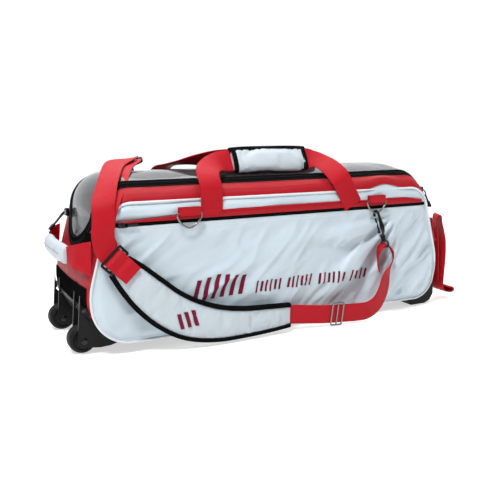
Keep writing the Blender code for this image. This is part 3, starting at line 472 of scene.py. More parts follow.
def shell(outer, inner, closed=False):
    """Closed cloth between two grids of points. The inner grid's faces take material slot 1."""
    bm = bmesh.new()
    uv = bm.loops.layers.uv.verify()
    rows, columns = len(outer), len(outer[0])
    half = columns // 2
    down = walked([row[half] for row in outer] + ([outer[0][half]] if closed else []))
    wide = max(outer, key=lambda row: (row[-1] - row[0]).length)
    over = walked(wide)
    top = [[bm.verts.new(p) for p in row] for row in outer]
    low = [[bm.verts.new(p) for p in row] for row in inner]

    def face(corners, spots, slot=0):
        made = bm.faces.new(corners)
        made.material_index = slot
        for loop, (a, b) in zip(made.loops, spots):
            loop[uv].uv = (down[a], over[b])

    for i in range(rows if closed else rows - 1):
        k = (i + 1) % rows
        for j in range(columns - 1):
            face((top[i][j], top[k][j], top[k][j + 1], top[i][j + 1]),
                 ((i, j), (i + 1, j), (i + 1, j + 1), (i, j + 1)))
            face((low[i][j], low[i][j + 1], low[k][j + 1], low[k][j]),
                 ((i, j), (i, j + 1), (i + 1, j + 1), (i + 1, j)), 1)
        for j, flip in ((0, False), (columns - 1, True)):
            corners = [top[i][j], low[i][j], low[k][j], top[k][j]]
            face(list(reversed(corners)) if flip else corners, [(i, j)] * 4)
    if not closed:
        for j in range(columns - 1):
            face((top[0][j], top[0][j + 1], low[0][j + 1], low[0][j]), [(0, j)] * 4)
            face((top[-1][j], low[-1][j], low[-1][j + 1], top[-1][j + 1]), [(rows - 1, j)] * 4)
    return bm


def tube(path, radius, sides=12, closed=False, bm=None):
    """Round wire along a path."""
    rings, guide = [], None
    for i, here in enumerate(path):
        along = tangent(path, i, closed)
        guide = square_to(along, along.orthogonal() if guide is None else guide)
        other = along.cross(guide)
        turns = [2 * math.pi * k / sides for k in range(sides)]
        rings.append([here + (guide * math.cos(turn) + other * math.sin(turn)) * radius for turn in turns])
    return loft(rings, round_path=closed, bm=bm)


def turned(profile, centre, axis, steps, bm=None):
    """Closed profile of (radius, along) turned round the Y or the Z axis."""
    rings = []
    for k in range(steps):
        angle = 2 * math.pi * k / steps
        ring = []
        for radius, along in profile:
            a, b = radius * math.cos(angle), radius * math.sin(angle)
            ring.append(centre + Vector((a, along, b) if axis == "Y" else (a, b, along)))
        rings.append(ring)
    made = loft(rings, round_path=True, bm=bm)
    bmesh.ops.remove_doubles(made, verts=made.verts, dist=1e-7)
    return made


def block(low, high, bevel, segments, bm=None):
    """Box with rounded edges."""
    if bm is None:
        bm = bmesh.new()
    made = bmesh.ops.create_cube(bm, size=1.0)["verts"]
    size = Vector(high) - Vector(low)
    bmesh.ops.scale(bm, verts=made, vec=size)
    bmesh.ops.translate(bm, verts=made, vec=(Vector(high) + Vector(low)) / 2)
    edges = {edge for vert in made for edge in vert.link_edges}
    bmesh.ops.bevel(bm, geom=list(edges), offset=bevel, segments=segments, affect="EDGES",
                    profile=0.6)
    return bm


def moved(bm, matrix):
    """The same mesh after a transform."""
    bmesh.ops.transform(bm, matrix=matrix, verts=bm.verts)
    return bm


def flat_loop(centre, up, out, half_up, half_out, power, count):
    """Super-ellipse loop in the plane of up and out."""
    loop = []
    for k in range(count):
        angle = 2 * math.pi * (k + 0.5) / count
        c, s = math.cos(angle), math.sin(angle)
        loop.append(centre + up * (math.copysign(abs(c) ** (2 / power), c) * half_up)
                    + out * (math.copysign(abs(s) ** (2 / power), s) * half_out))
    return loop


def finish_piece(name, bm, look, body="bag", nodes=(), blend=None, lining=None):
    """Turns a mesh in the bag's frame into a named piece that rides with one body of the frame, or stands on
    its own when a blend is given.
    """
    bmesh.ops.recalc_face_normals(bm, faces=bm.faces)
    mesh = bpy.data.meshes.new(name)
    bm.to_mesh(mesh)
    bm.free()
    mesh.transform(Matrix.Translation(SHIFT))
    mesh.shade_smooth()
    mesh.set_sharp_from_angle(angle=SHARP_EDGE)
    piece = placed(name, mesh)
    slot, material = LOOKS[look]
    mesh.materials.append(material)
    if lining:
        mesh.materials.append(LOOKS[lining][1])
    if blend:
        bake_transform(piece)
    else:
        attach(piece, body)
    if nodes:
        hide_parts(*nodes)
    return piece


def cloth(name, outer, inward, look, nodes=(), lining=None):
    """Sewn piece: a grid of outer points, with the same grid moved by inward as its back."""
    inner = [[p + inward for p in row] for row in outer]
    return finish_piece(name, shell(outer, inner), look, nodes=nodes, lining=lining or look)


SEAMS = {}


def stitch(points, out, look="red_thread", body="bag"):
    """Queues a row of stitches along points; out is the way they stand proud."""
    SEAMS.setdefault((body, look), []).append((points, out))


def sew():
    """Makes one piece of each colour of stitching on each body."""
    for (body, look), rows in SEAMS.items():
        bm = bmesh.new()
        for points, out in rows:
            total = walked(points)
            start = STITCH_GAP
            while start + STITCH_LENGTH < total[-1]:
                end = start + STITCH_LENGTH
                lozenge(bm, along_path(points, total, start), along_path(points, total, end), out)
                start = end + STITCH_GAP
        finish_piece(f"stitching_{body}_{look}", bm, look, body)


def along_path(points, total, distance):
    """Point at this distance; total is what has been walked at each point."""
    for i in range(len(points) - 1):
        if total[i + 1] >= distance:
            share = (distance - total[i]) / max(total[i + 1] - total[i], 1e-9)
            return points[i].lerp(points[i + 1], share)
    return points[-1]


def lozenge(bm, one, two, out):
    """One stitch: a thin spindle that dips into the cloth at both ends."""
    along = (two - one).normalized()
    side = along.cross(out).normalized()
    ends = [bm.verts.new(one - out * STITCH_RADIUS), bm.verts.new(two - out * STITCH_RADIUS)]
    rings = []
    for share in (0.22, 0.78):
        here = one.lerp(two, share)
        rings.append([bm.verts.new(here + (out * a + side * b) * STITCH_RADIUS)
                      for a, b in ((1, 0), (0, 1), (-1, 0), (0, -1))])
    for k in range(4):
        h = (k + 1) % 4
        bm.faces.new((ends[0], rings[0][k], rings[0][h]))
        bm.faces.new((rings[0][k], rings[1][k], rings[1][h], rings[0][h]))
        bm.faces.new((ends[1], rings[1][h], rings[1][k]))


# Sewn shell

def edge_x(outline, z, side):
    """Where the outline crosses height z on one side."""
    found = 0.0
    for a, b in zip(outline, outline[1:] + outline[:1]):
        if (a.y - z) * (b.y - z) <= 0 and a.y != b.y:
            x = a.x + (b.x - a.x) * (z - a.y) / (b.y - a.y)
            if x * side > found * side:
                found = x
    return found


def panel_rows(inset, low, high, columns=150, rows=56):
    """Grid of (x, z, distance to the seam) that fills the side panel between two heights."""
    outline = panel_outline(inset)
    floor, roof = min(p.y for p in outline) + 1e-5, max(p.y for p in outline) - 1e-5
    low, high = max(low, floor), min(high, roof)
    grid = []
    for k in range(rows + 1):
        z = low + (high - low) * (0.5 - 0.5 * math.cos(math.pi * k / rows))
        left, right = edge_x(outline, z, -1), edge_x(outline, z, 1)
        grid.append([(x, z, min(x - left, right - x, z - floor, roof - z))
                     for x in spread(left, right, columns)])
    return grid


def ball_push(x, z):
    """How much the balls inside press the cloth out, from 0 to 1."""
    away = min(math.hypot(x - centre, z - BALL_Z) for centre in BALL_XS) / BALL_REACH
    return max(1 - away * away, 0.0)


def cloth_panel(name, rows, side, depth, nodes):
    """Upright cloth whose outer face stands depth(x, z, edge) away from the middle plane."""
    outer = [[settle(Vector((x, side * depth(x, z, edge), z))) for x, z, edge in row] for row in rows]
    return cloth(name, outer, Vector((0.0, -side * CLOTH, 0.0)), "white", nodes, "lining")


def pocket_depth(x, z, edge):
    """Depth of the pocket's cloth: rolled edge, sewn line, balls and folds."""
    roll = smooth(edge / 0.018)
    right = smooth((x + 0.06) / 0.2)
    crumple = (1 - right) * 0.85 * folds(x, z, 3.0, 0.062, 0.55, 3.6)
    crumple += right * (1.15 * folds(x, z, 9.0, 0.04, 0.78, 4.2) + 0.8 * drape(x, z))
    calm = 1 - 0.85 * smooth((z - ZIP_Z + 0.036) / 0.026)
    seam = 0.0009 * math.exp(-((edge - 0.0065) / 0.0018) ** 2)
    return (POCKET_Y + 0.0052 * roll - seam + 0.0016 * roll * ball_push(x, z)
            + min(max(0.0165 * roll * calm * crumple, -0.0034), 0.0092))


def drape(x, z):
    """Pulled folds that fan out of the front hook's corner, down and to the left."""
    aside, below = x - DRAPE_X, z - DRAPE_Z
    away = math.hypot(aside, below)
    turn = math.atan2(below, aside)
    wander = 0.16 * noise.noise(Vector((aside * 9.0, below * 9.0, 17.0)))
    fan = math.cos((turn + wander) * 13.0)
    near, far = smooth(away / 0.06), 1 - smooth((away - 0.18) / 0.16)
    return 0.6 * fan * near * far * smooth((0.01 - aside) / 0.05)


def front_depth(x, z, edge):
    """Depth of the front panel, which shows only above the pocket."""
    roll = smooth(edge / 0.012)
    above = smooth((z - ZIP_Z - 0.006) / 0.01)
    crumple = folds(x, z, 31.0, 0.05, 0.3)
    return PANEL_Y + roll * (0.001 + 0.0042 * above + 0.0042 * above * max(crumple, -0.6))


def rear_depth(x, z, edge):
    """Depth of the rear panel."""
    roll = smooth(edge / 0.016)
    left = smooth((0.05 - x) / 0.2)
    crumple = (1 - left) * folds(x, z, 47.0, 0.058, 0.5) + left * folds(x, z, 53.0, 0.05, -0.7)
    return PANEL_Y + 0.0036 * roll + 0.0018 * roll * ball_push(x, z) + 0.0068 * roll * crumple


def make_side_panels():
    """Front, pocket and rear cloth, and the pocket's two rows of stitches."""
    top = ZIP_Z - 0.0036
    cloth_panel("front_cloth", panel_rows(0.0012, 0.0, 1.0), -1, front_depth, ["front_panel"])
    pocket = cloth_panel("pocket_cloth", panel_rows(0.0016, 0.0, top, 200, 76), -1, pocket_depth,
                         ["pocket_panel"])
    cloth_panel("rear_cloth", panel_rows(0.0012, 0.0, 1.0), 1, rear_depth, ["rear_panel"])
    for side, depth in ((-1, pocket_depth), (1, rear_depth)):
        row = [Vector((p.x, side * (depth(p.x, p.y, 0.0065) + 0.0001), p.y))
               for p in panel_outline(0.01, 10) if side > 0 or p.y < top]
        if side < 0:
            start = max(range(len(row)), key=lambda i: (row[i] - row[i - 1]).length)
            row = row[start:] + row[:start]
        stitch(row, Vector((0.0, side, 0.0)), "grey_thread")
    for drop in (0.003, 0.0075):
        z = top - drop
        row = [Vector((x / 1000, -pocket_depth(x / 1000, z, 0.02) - 0.0001, z))
               for x in range(-326, 327, 6)]
        stitch(row, FRONT, "white_thread")
    return pocket


def make_piping():
    """Cord in its cloth cover round both side panels."""
    for name, side in FACES:
        path = [settle(Vector((p.x, side * HALF_WIDTH, p.y))) for p in panel_outline(0.0, 14)]
        path = [p.lerp(path[(i + 1) % len(path)], k / 4) for i, p in enumerate(path)
                for k in range(4 if (path[(i + 1) % len(path)] - p).length > 0.03 else 1)]
        finish_piece(name + "_piping_cord", tube(path, PIPING, 12, closed=True), "piping",
                     nodes=[name + "_piping"])


def strip_top(x):
    """Height of the red strip above the pocket's zip: it tapers out at both ends."""
    return 0.003 + 0.0105 * smooth((x + 0.345) / 0.26) * (1 - 0.62 * smooth((x - 0.27) / 0.06))


def make_pocket_zip():
    """Tape, coil and red strip of the pocket's zip."""
    xs = spread(-ZIP_HALF, ZIP_HALF, 160)
    low, base = ZIP_Z - 0.0034, ZIP_Z + 0.0026
    section = ((0.0, -0.1292), (0.002, -0.1306), (0.0048, -0.1306), (0.0068, -0.1292))
    outer = [[Vector((x, y, low + up)) for up, y in section] for x in xs]
    cloth("pocket_zip_woven_tape", outer, Vector((0.0, 0.0012, 0.0)), "tape", ["pocket_zip_tape"])
    path = [Vector((-0.322 + 0.00104 * k, -0.1314, low + (0.0046 if k % 2 else 0.002)))
            for k in range(620)]
    finish_piece("pocket_zip_coil", tube(path, 0.00048, 5), "coil")
    section = ((0.0, -0.1302), (0.03, -0.1318), (0.15, -0.1324), (0.5, -0.1322), (0.85, -0.1314),
               (1.0, -0.1298))
    outer = []
    for x in xs[2:-2]:
        wobble = 0.0003 * noise.noise(Vector((x * 60.0, 0.0, 4.0)))
        outer.append([Vector((x, y - wobble, base + strip_top(x) * share)) for share, y in section])
    cloth("pocket_zip_flap", outer, Vector((0.0, 0.001, 0.0)), "red", ["pocket_zip_band"])
    stitch([Vector((x, -0.1323, base + strip_top(x) * 0.8)) for x in xs[8:-8]], FRONT, "dark_thread")


def tip_rows(offset, steps=22, flat=0.14):
    """(s, half width) from the straight part of the lid to its right-hand tip, grown by offset."""
    straight = s_at_height(LID_TIP_Z) - TIP_LENGTH
    return [(straight + (TIP_LENGTH + offset) * math.cos(angle), (LID_HALF + offset) * math.sin(angle))
            for angle in spread(math.pi / 2, flat, steps)]


def full_rows(right, across):
    """Rows from the left tip to the right tip, with the straight part filled in."""
    reach, half = right[0]
    left = [(-s, wide) for s, wide in reversed(right)]
    return left + [(s, half) for s in spread(-reach, reach, across)[1:-1]] + right


def lid_loop(offset):
    """Points (s, y) all round the lid's edge, grown by offset."""
    reach = s_at_height(LID_TIP_Z) - TIP_LENGTH
    half = LID_HALF + offset
    points = []
    for side in (1, -1):
        for angle in spread(math.pi / 2, -math.pi / 2, 52)[:-1]:
            points.append((side * (reach + (TIP_LENGTH + offset) * math.cos(angle)),
                           side * half * math.sin(angle)))
        points += [(side * s, -side * half) for s in spread(reach, -reach, 44)[:-1]]
    return points


def skin_shell(grid, thickness, closed=False):
    """Cloth on the bag's skin, from rows of (s, y, lift)."""
    outer, inner = ([[settle(skin_point(s, y, lift - deeper)) for s, y, lift in row] for row in grid]
                    for deeper in (0.0, thickness))
    return shell(outer, inner, closed)


def edge_strip(offsets, lifts, thickness):
    """Closed strip that follows the lid's edge all round, with the given section."""
    loops = [[(s, y, lift) for s, y in lid_loop(offset)] for offset, lift in zip(offsets, lifts)]
    return skin_shell(list(zip(*loops)), thickness, closed=True)


def edge_path(offset, lift):
    """Closed line beside the lid's edge."""
    path = [settle(skin_point(*spot, lift)) for spot in lid_loop(offset)]
    return path + [path[0]]


def make_lid():
    """Clear lid and its binding, and the main zip that runs round them."""
    grid = []
    for s, half in full_rows(tip_rows(BINDING_IN - 0.0003), 60):
        row = []
        for y in spread(-half, half, 28):
            ripple = 0.0018 * noise.noise(Vector((s / 0.07, y / 0.11, 2.0)))
            ripple += 0.0007 * noise.noise(Vector((s / 0.03, y / 0.05, 8.0)))
            row.append((s, y, ripple * smooth((half - abs(y)) / 0.03)))
        grid.append(row)
    finish_piece("lid_window", skin_shell(grid, 0.0011), "vinyl", "lid", ["clear_lid"])
    lifts = [0.0004, 0.0016, 0.002, 0.0019, 0.0013, 0.0019, 0.002, 0.0016, 0.0002]
    finish_piece("lid_binding_tape", edge_strip(spread(BINDING_IN, BINDING_OUT, 8), lifts, 0.0026),
                 "black", "lid", ["lid_binding"], lining="black")
    for offset in (BINDING_IN + 0.0022, BINDING_OUT - 0.0022):
        stitch(edge_path(offset, 0.0021), UP, "black_thread", "lid")
    offsets = [TAPE_IN, TAPE_IN + 0.0012, TAPE_IN + 0.003, TAPE_OUT - 0.0012, TAPE_OUT]
    strip = edge_strip(offsets, [0.0, 0.001, 0.0008, 0.0006, 0.0004], 0.0016)
    finish_piece("main_zip_woven_tape", strip, "tape", nodes=["main_zip_tape"], lining="tape")
    stitch(edge_path(TAPE_OUT - 0.0014, 0.0007), UP, "black_thread")
    near, centre, far = (edge_path((BINDING_OUT + TAPE_IN) / 2 + wide, 0.0012)
                         for wide in (0.0001, 0.0012, 0.0023))
    total = walked(centre)
    count = int(total[-1] / 0.00115) // 2 * 2
    path = [along_path(far if k % 2 else near, total, total[-1] * k / count) for k in range(count)]
    finish_piece("main_zip_coil", tube(path, 0.00052, 4, closed=True), "coil")


def band_end():
    """Distance s at which the bands stop and the end panels begin."""
    return s_at_height(LID_TIP_Z) + TAPE_OUT + 0.012


def skin_cloth(name, rows, nodes, amount, seed, look="red", ceiling=0.0007, base=0.0):
    """Sheet on the bag's skin, lifted by base, with small folds that stay under a ceiling."""
    grid = []
    for k, row in enumerate(rows):
        lifted = []
        for j, (s, y) in enumerate(row):
            edge = min(k, len(rows) - 1 - k, j, len(row) - 1 - j)
            fold = folds(s, y, seed, 0.035, 1.2, 2.0) * min(edge / 3, 1.0)
            lifted.append((s, y, base + min(amount * fold, ceiling)))
        grid.append(lifted)
    return finish_piece(name, skin_shell(grid, CLOTH), look, nodes=nodes, lining="lining")


def seam_side(half, share):
    """Depth y at a share of the way from the piping, under which the band ends, to the lid."""
    low, high = 1.53, math.asin(min(half / HALF_WIDTH, 1.0))
    return HALF_WIDTH * math.sin(low + (high - low) * share)


def make_bands():
    """Red gusset bands between the side panels and the zip, and the red end panels."""
    right = tip_rows(TAPE_OUT + 0.0004, 26, 0.02) + [(band_end(), 0.0003)]
    for name, side in FACES:
        rows = [[(s, side * seam_side(half, share)) for share in spread(0, 1, 12)]
                for s, half in full_rows(right, 90)]
        skin_cloth(name + "_gusset", rows, [name + "_top_band"], 0.0016, 61.0 + side)
        path = [settle(skin_point(s, side * (BAND_EDGE - 0.003), 0.0004))
                for s, _ in full_rows(right, 60)]
        stitch(path, UP, "dark_thread")
        path = edge_path(TAPE_OUT + 0.0026, 0.0006)
        half = len(path) // 2
        stitch(path[:half] if side > 0 else path[half:], UP, "dark_thread")
    for name, side in ENDS:
        corner = s_at_height(UNDERSIDE + 0.0002, side)
        rows = [[(side * s, HALF_WIDTH * math.sin(turn)) for turn in spread(-1.53, 1.53, 44)]
                for s in spread(band_end() + 0.0003, corner, 40)]
        skin_cloth(name + "_end_cloth", rows, [name + "_end_panel"], 0.0018, 71.0 + side)
        if name == "left":
            rows = [[(side * s, y) for y in spread(-GUARD_HALF, GUARD_HALF, 32)]
                    for s in spread(s_at_height(GUARD_TOP, side), corner, 20)]
            skin_cloth("left_end_guard", rows, [], 0.0008, 83.0, "black", 0.0004, 0.0017)


def make_bottom():
    """Cloth under the bag, very slightly uneven."""
    low, high = local("bottom_panel")
    outer = []
    for x in spread(low.x, high.x, 80):
        sags = [(y, noise.noise(Vector((x * 28.0, y * 28.0, 1.0)))) for y in spread(low.y, high.y, 30)]
        outer.append([Vector((x, y, low.z + 0.0007 * abs(sag))) for y, sag in sags])
    cloth("underside_cloth", outer, UP * 0.0012, "black", ["bottom_panel"], "lining")


# Webbing

def web_section(width, thick):
    """Rounded flat section: (across, out) points all round."""
    half, flat, corner = width / 2, thick / 2, 0.001
    top = [(-half, 0.0), (-half + 0.3 * corner, 0.78 * flat), (-half + corner, flat),
           (-half / 2, flat), (0.0, flat), (half / 2, flat), (half - corner, flat),
           (half - 0.3 * corner, 0.78 * flat)]
    return top + [(-a, -b) for a, b in top]


def web(path, across, width, thick=WEB_THICK):
    """Flat webbing along a path; across gives its width direction at each point."""
    rings = []
    for i, here in enumerate(path):
        along = tangent(path, i)
        side = square_to(along, across[i])
        face = along.cross(side)
        wide = width[i] if isinstance(width, list) else width
        rings.append([here + side * a + face * b for a, b in web_section(wide, thick)])
    return loft(rings)


def routed(rows, per_span=6):
    """Path and width directions from listed rows of (x, y, z, across)."""
    return (smooth_path([row[:3] for row in rows], per_span),
            smooth_path([row[3:6] for row in rows], per_span))


def edge_stitches(path, across, width, lift, look):
    """A row of stitches near each edge of a strap."""
    for side in (-1, 1):
        row = []
        for i, here in enumerate(path):
            along = tangent(path, i)
            over = square_to(along, across[i])
            face = along.cross(over)
            row.append(here + over * (side * (width / 2 - STITCH_INSET)) + face * lift)
        stitch(row, face, look)


def box_stitch(centre, right, up, out, half_right, half_up):
    """Sewn rectangle with a cross in it."""
    corner = [centre + right * (a * half_right) + up * (b * half_up)
              for a, b in ((-1, -1), (1, -1), (1, 1), (-1, 1))]
    for a, b in ((0, 1), (1, 2), (2, 3), (3, 0), (0, 2), (1, 3)):
        stitch([corner[a], corner[b]], out)


ANCHOR_LOW = local("handle_anchor_front_left")[0].z
FRONT_LEFT = [  # front handle from its left anchor to the wrap: x, y, z, then its width direction
    (-0.155, -0.1322, 0.2638, 1, 0, 0), (-0.155, -0.131, 0.278, 1, 0, 0),
    (-0.1555, -0.124, 0.2915, 1, 0, 0), (-0.153, -0.111, 0.3025, 0.97, -0.2, -0.15),
    (-0.142, -0.093, 0.311, 0.75, -0.55, -0.36), (-0.123, -0.077, 0.3165, 0.38, -0.68, -0.63),
    (-0.102, -0.0672, 0.3192, 0.05, -0.5, -0.86), (-0.085, -0.066, 0.3195, 0, -0.47, -0.88),
    (-0.05, -0.066, 0.3195, 0, -0.47, -0.88),
]
FRONT_RIGHT = [  # and from its right anchor, which leans in
    (0.1226, -0.1322, 0.2745, -0.87, 0, -0.49), (0.1178, -0.13, 0.2835, -0.87, 0, -0.49),
    (0.1138, -0.1205, 0.2945, -0.87, -0.03, -0.49), (0.1095, -0.104, 0.3055, -0.82, -0.25, -0.5),
    (0.102, -0.082, 0.315, -0.48, -0.66, -0.58), (0.089, -0.0695, 0.3185, -0.17, -0.58, -0.8),
    (0.072, -0.066, 0.3195, 0, -0.47, -0.88), (0.04, -0.066, 0.3195, 0, -0.47, -0.88),
]
REAR_LEFT = [
    (-0.155, 0.1322, 0.2638, 1, 0, 0), (-0.155, 0.131, 0.278, 1, 0, 0), (-0.155, 0.1215, 0.2925, 1, 0, 0),
    (-0.154, 0.098, 0.303, 1, 0.05, 0), (-0.15, 0.06, 0.308, 0.96, 0.25, -0.05),
    (-0.139, 0.024, 0.313, 0.75, 0.6, -0.25), (-0.118, -0.008, 0.318, 0.35, 0.7, -0.6),
    (-0.09, -0.024, 0.3205, 0.05, 0.5, -0.86), (-0.042, -0.027, 0.321, 0, 0.47, -0.88),
]
REAR_RIGHT = [(-x, y, z, -a, b, c) for x, y, z, a, b, c in REAR_LEFT]
WRAP_MIDDLE = Vector((-0.004, -0.066, 0.3195))
WRAP_HALF = 0.08
WRAP_UP = Vector((0.0, 0.47, 0.88)).normalized()
WRAP_OUT = WRAP_UP.cross(ALONG)


def anchor_tail(x, lean, side, turn):
    """The handle's sewn end, from the panel up to where the free leg starts; it may lean in."""
    slope = math.sqrt(1 + lean * lean)
    return [(x - lean * lift, side * 0.1326, ANCHOR_LOW + lift, turn / slope, 0.0, turn * lean / slope)
            for lift in (0.0, 0.011, 0.022)]


def make_handles():
    """Webbing of both carry handles, and the stitching of their sewn ends."""
    for (name, side), left, right, lean, foot in ((FACES[0], FRONT_LEFT, FRONT_RIGHT, 0.57, 0.1476),
                                                  (FACES[1], REAR_LEFT, REAR_RIGHT, 0.0, 0.155)):
        left = anchor_tail(-0.155, 0.0, side, 1.0) + left
        right = anchor_tail(foot, lean, side, -1.0) + right
        path, across = routed(left + right[::-1])
        hinge = Vector((0.0, side * SEWN_Y, 0.2635))
        nodes = [f"{name}_handle_web", f"handle_anchor_{name}_left", f"handle_anchor_{name}_right"]
        finish_piece(name + "_handle_webbing", web(path, across, HANDLE_WEB), "web", nodes=nodes,
                     blend=("bag", name + "_handle", hinge - UP * 0.006, hinge + UP * 0.012))
        for x, tilt in ((-0.155, 0.0), (foot, lean)):
            low = Vector((x - tilt * 0.0145, side * STITCH_Y, ANCHOR_LOW + 0.0145))
            box_stitch(low, Vector((1.0, 0.0, tilt)).normalized(), Vector((-tilt, 0.0, 1.0)).normalized(),
                       Vector((0.0, side, 0.0)), HANDLE_WEB / 2 - 0.004, 0.0115)


def wrap_section(share, grow):
    """Loop round the wrap at a share of its half length."""
    centre = WRAP_MIDDLE + ALONG * (share * WRAP_HALF)
    swell = 1 - 0.1 * abs(share) ** 6
    return flat_loop(centre, WRAP_UP, WRAP_OUT, 0.025 * swell + grow, 0.0098 * swell + grow, 2.5, 40)


def closing(ring):
    """Half-size copy of a ring, for the flat end of a padded piece."""
    return [p.lerp(sum(ring, Vector()) / len(ring), 0.5) for p in ring]


def make_wrap():
    """Padded wrap that holds the carry handle together, bound in black on three sides."""
    rings = [wrap_section(share, -0.0004) for share in spread(-1, 1, 44)]
    pad = finish_piece("carry_wrap_pad", loft([closing(rings[0])] + rings + [closing(rings[-1])]),
                       "padding", "front_handle", ["handle_wrap"])
    inflate(pad, lambda p: abs(p.x) > WRAP_HALF - 0.01 or (p - WRAP_MIDDLE).dot(WRAP_UP) > 0.021,
            pressure=2.2, swell=0.035, cap=0.003)
    roll, crease = [], []
    for share in spread(-1, 1, 48):
        centre = WRAP_MIDDLE + ALONG * (share * (WRAP_HALF + 0.001))
        centre += WRAP_UP * (0.0215 - 0.0022 * share ** 4)
        roll.append(flat_loop(centre, WRAP_UP, WRAP_OUT, 0.006, 0.0082, 2.2, 24))
        crease.append(centre - WRAP_OUT * 0.008)
    finish_piece("carry_wrap_top_binding", loft(roll), "black", "front_handle")
    bm = bmesh.new()
    for side in (-1, 1):
        inner = side * 0.895
        loft([wrap_section(side * 0.999, -0.003), wrap_section(side, -0.0016), wrap_section(side, 0.0008),
              wrap_section(inner, 0.0012), wrap_section(inner - side * 0.01, -0.0008)], caps=False, bm=bm)
        seam = wrap_section(side * 0.91, 0.0016)
        stitch(seam + [seam[0]], WRAP_OUT, "black_thread", "front_handle")
    bmesh.ops.holes_fill(bm, edges=[edge for edge in bm.edges if edge.is_boundary])
    finish_piece("carry_wrap_end_binding", bm, "black", "front_handle")
    stitch(crease, -WRAP_OUT, "black_thread", "front_handle")


def inflate(piece, pinned, pressure, swell, cap):
    """Puffs cloth out by simulation, with the pinned points held, and keeps the result."""
    mesh = piece.data
    group = piece.vertex_groups.new(name="held")
    held = [v.index for v in mesh.vertices if pinned(v.co - SHIFT)]
    group.add(held, 1.0, "REPLACE")
    puff = piece.modifiers.new("Cloth", "CLOTH")
    values = {"quality": 6, "mass": 0.15, "tension_stiffness": 12.0, "compression_stiffness": 12.0,
              "bending_stiffness": 0.15, "vertex_group_mass": "held", "use_pressure": True,
              "uniform_pressure_force": pressure, "shrink_min": -swell}
    for key, value in values.items():
        setattr(puff.settings, key, value)
    puff.settings.effector_weights.gravity = 0.0
    start = [v.co.copy() for v in mesh.vertices]
    scene = bpy.context.scene
    for frame_number in range(1, CLOTH_STEPS + 1):
        scene.frame_set(frame_number)
    shape = piece.evaluated_get(bpy.context.evaluated_depsgraph_get()).to_mesh()
    ends = [v.co.copy() for v in shape.vertices]
    piece.modifiers.remove(puff)
    for vert, old, new in zip(mesh.vertices, start, ends):
        step = new - old
        if step.length > cap:
            step *= cap / step.length
        vert.co = old + step
    piece.vertex_groups.clear()
    scene.frame_set(1)
    mesh.update()


GRAB_ROUTE = [(0.3625, 0.1185), (0.369, 0.1145), (0.38, 0.104), (0.3895, 0.086),
              (0.3955, 0.06), (0.3975, 0.03), (0.398, 0)]
LEAN = 0.27                 # the end faces lean in by this much for each metre of height
GRAB_HEIGHT, END_STRAP_HEIGHT = 0.171, 0.163


def end_strap(side, height, middle_width, seam_width):
    """Path, width directions and widths of the webbing that crosses an end."""
    seam = skin_point(s_at_height(height), GRAB_ROUTE[0][1], 0.0068).x
    out = seam - GRAB_ROUTE[0][0]
    half = [Vector((side * (x + out * (y / GRAB_ROUTE[0][1]) ** 2), -y, height))
            for x, y in GRAB_ROUTE]
    path = smooth_path(half + [Vector((p.x, -p.y, p.z)) for p in reversed(half[:-1])], 6)
    shares = [min(max((abs(p.y) - 0.072) / 0.046, 0.0), 1.0) for p in path]
    widths = [middle_width + (seam_width - middle_width) * share for share in shares]
    across = [Vector((-side * LEAN * share, 0.0, 1.0)).normalized() for share in shares]
    return path, across, widths


def pleated(path, across, widths, side):
    """The strap with its wide ends gathered into soft pleats."""
    bm = web(path, across, widths)
    for vert in bm.verts:
        far = smooth((abs(vert.co.y) - 0.08) / 0.03) * (1 - smooth((abs(vert.co.y) - 0.108) / 0.01))
        wave = math.sin((vert.co.z - 0.13) * 290.0 + vert.co.y * 60.0)
        rumple = noise.noise(Vector((vert.co.y * 45.0, vert.co.z * 90.0, 14.0 + side)))
        vert.co.x += side * far * (0.0022 * wave + 0.0034 * rumple)
    return bm


def make_end_straps():
    """Grab handle with its padded grip, and the strap across the tow end."""
    path, across, widths = end_strap(-1, GRAB_HEIGHT, 0.028, 0.054)
    finish_piece("grab_strap_webbing", pleated(path, across, widths, -1), "web", nodes=["grab_strap"])
    stations = spread(-0.072, 0.072, 36)

    def nearest(y):
        return min(path, key=lambda p: abs(p.y - y)).x

    rings = []
    for y in stations:
        middle_of_web = Vector(((nearest(y) + nearest(y + 0.012)) / 2, y, GRAB_HEIGHT))
        end = smooth((0.0725 - abs(y)) / 0.006)
        crease = 0.0009 * noise.noise(Vector((y * 90.0, 0.0, 6.0)))
        rings.append(flat_loop(middle_of_web, UP, ALONG, 0.0162 * (0.72 + 0.28 * end) + crease,
                               0.0102 * (0.55 + 0.45 * end) + crease, 2.2, 32))
    grip = finish_piece("grab_grip_pad", loft(rings), "padding", nodes=["grab_grip"])
    inflate(grip, lambda p: abs(p.y) > 0.067, pressure=1.5, swell=0.03, cap=0.0016)
    seam = [Vector((nearest(y) - 0.0116, y, GRAB_HEIGHT + 0.002)) for y in stations[2:-2]]
    finish_piece("grab_grip_seam", tube(seam, 0.0009, 6), "grey_thread")
    path, across, widths = end_strap(1, END_STRAP_HEIGHT, 0.038, 0.054)
    finish_piece("end_strap_webbing", pleated(path, across, widths, 1), "web",
                 nodes=["end_loop_strap"])


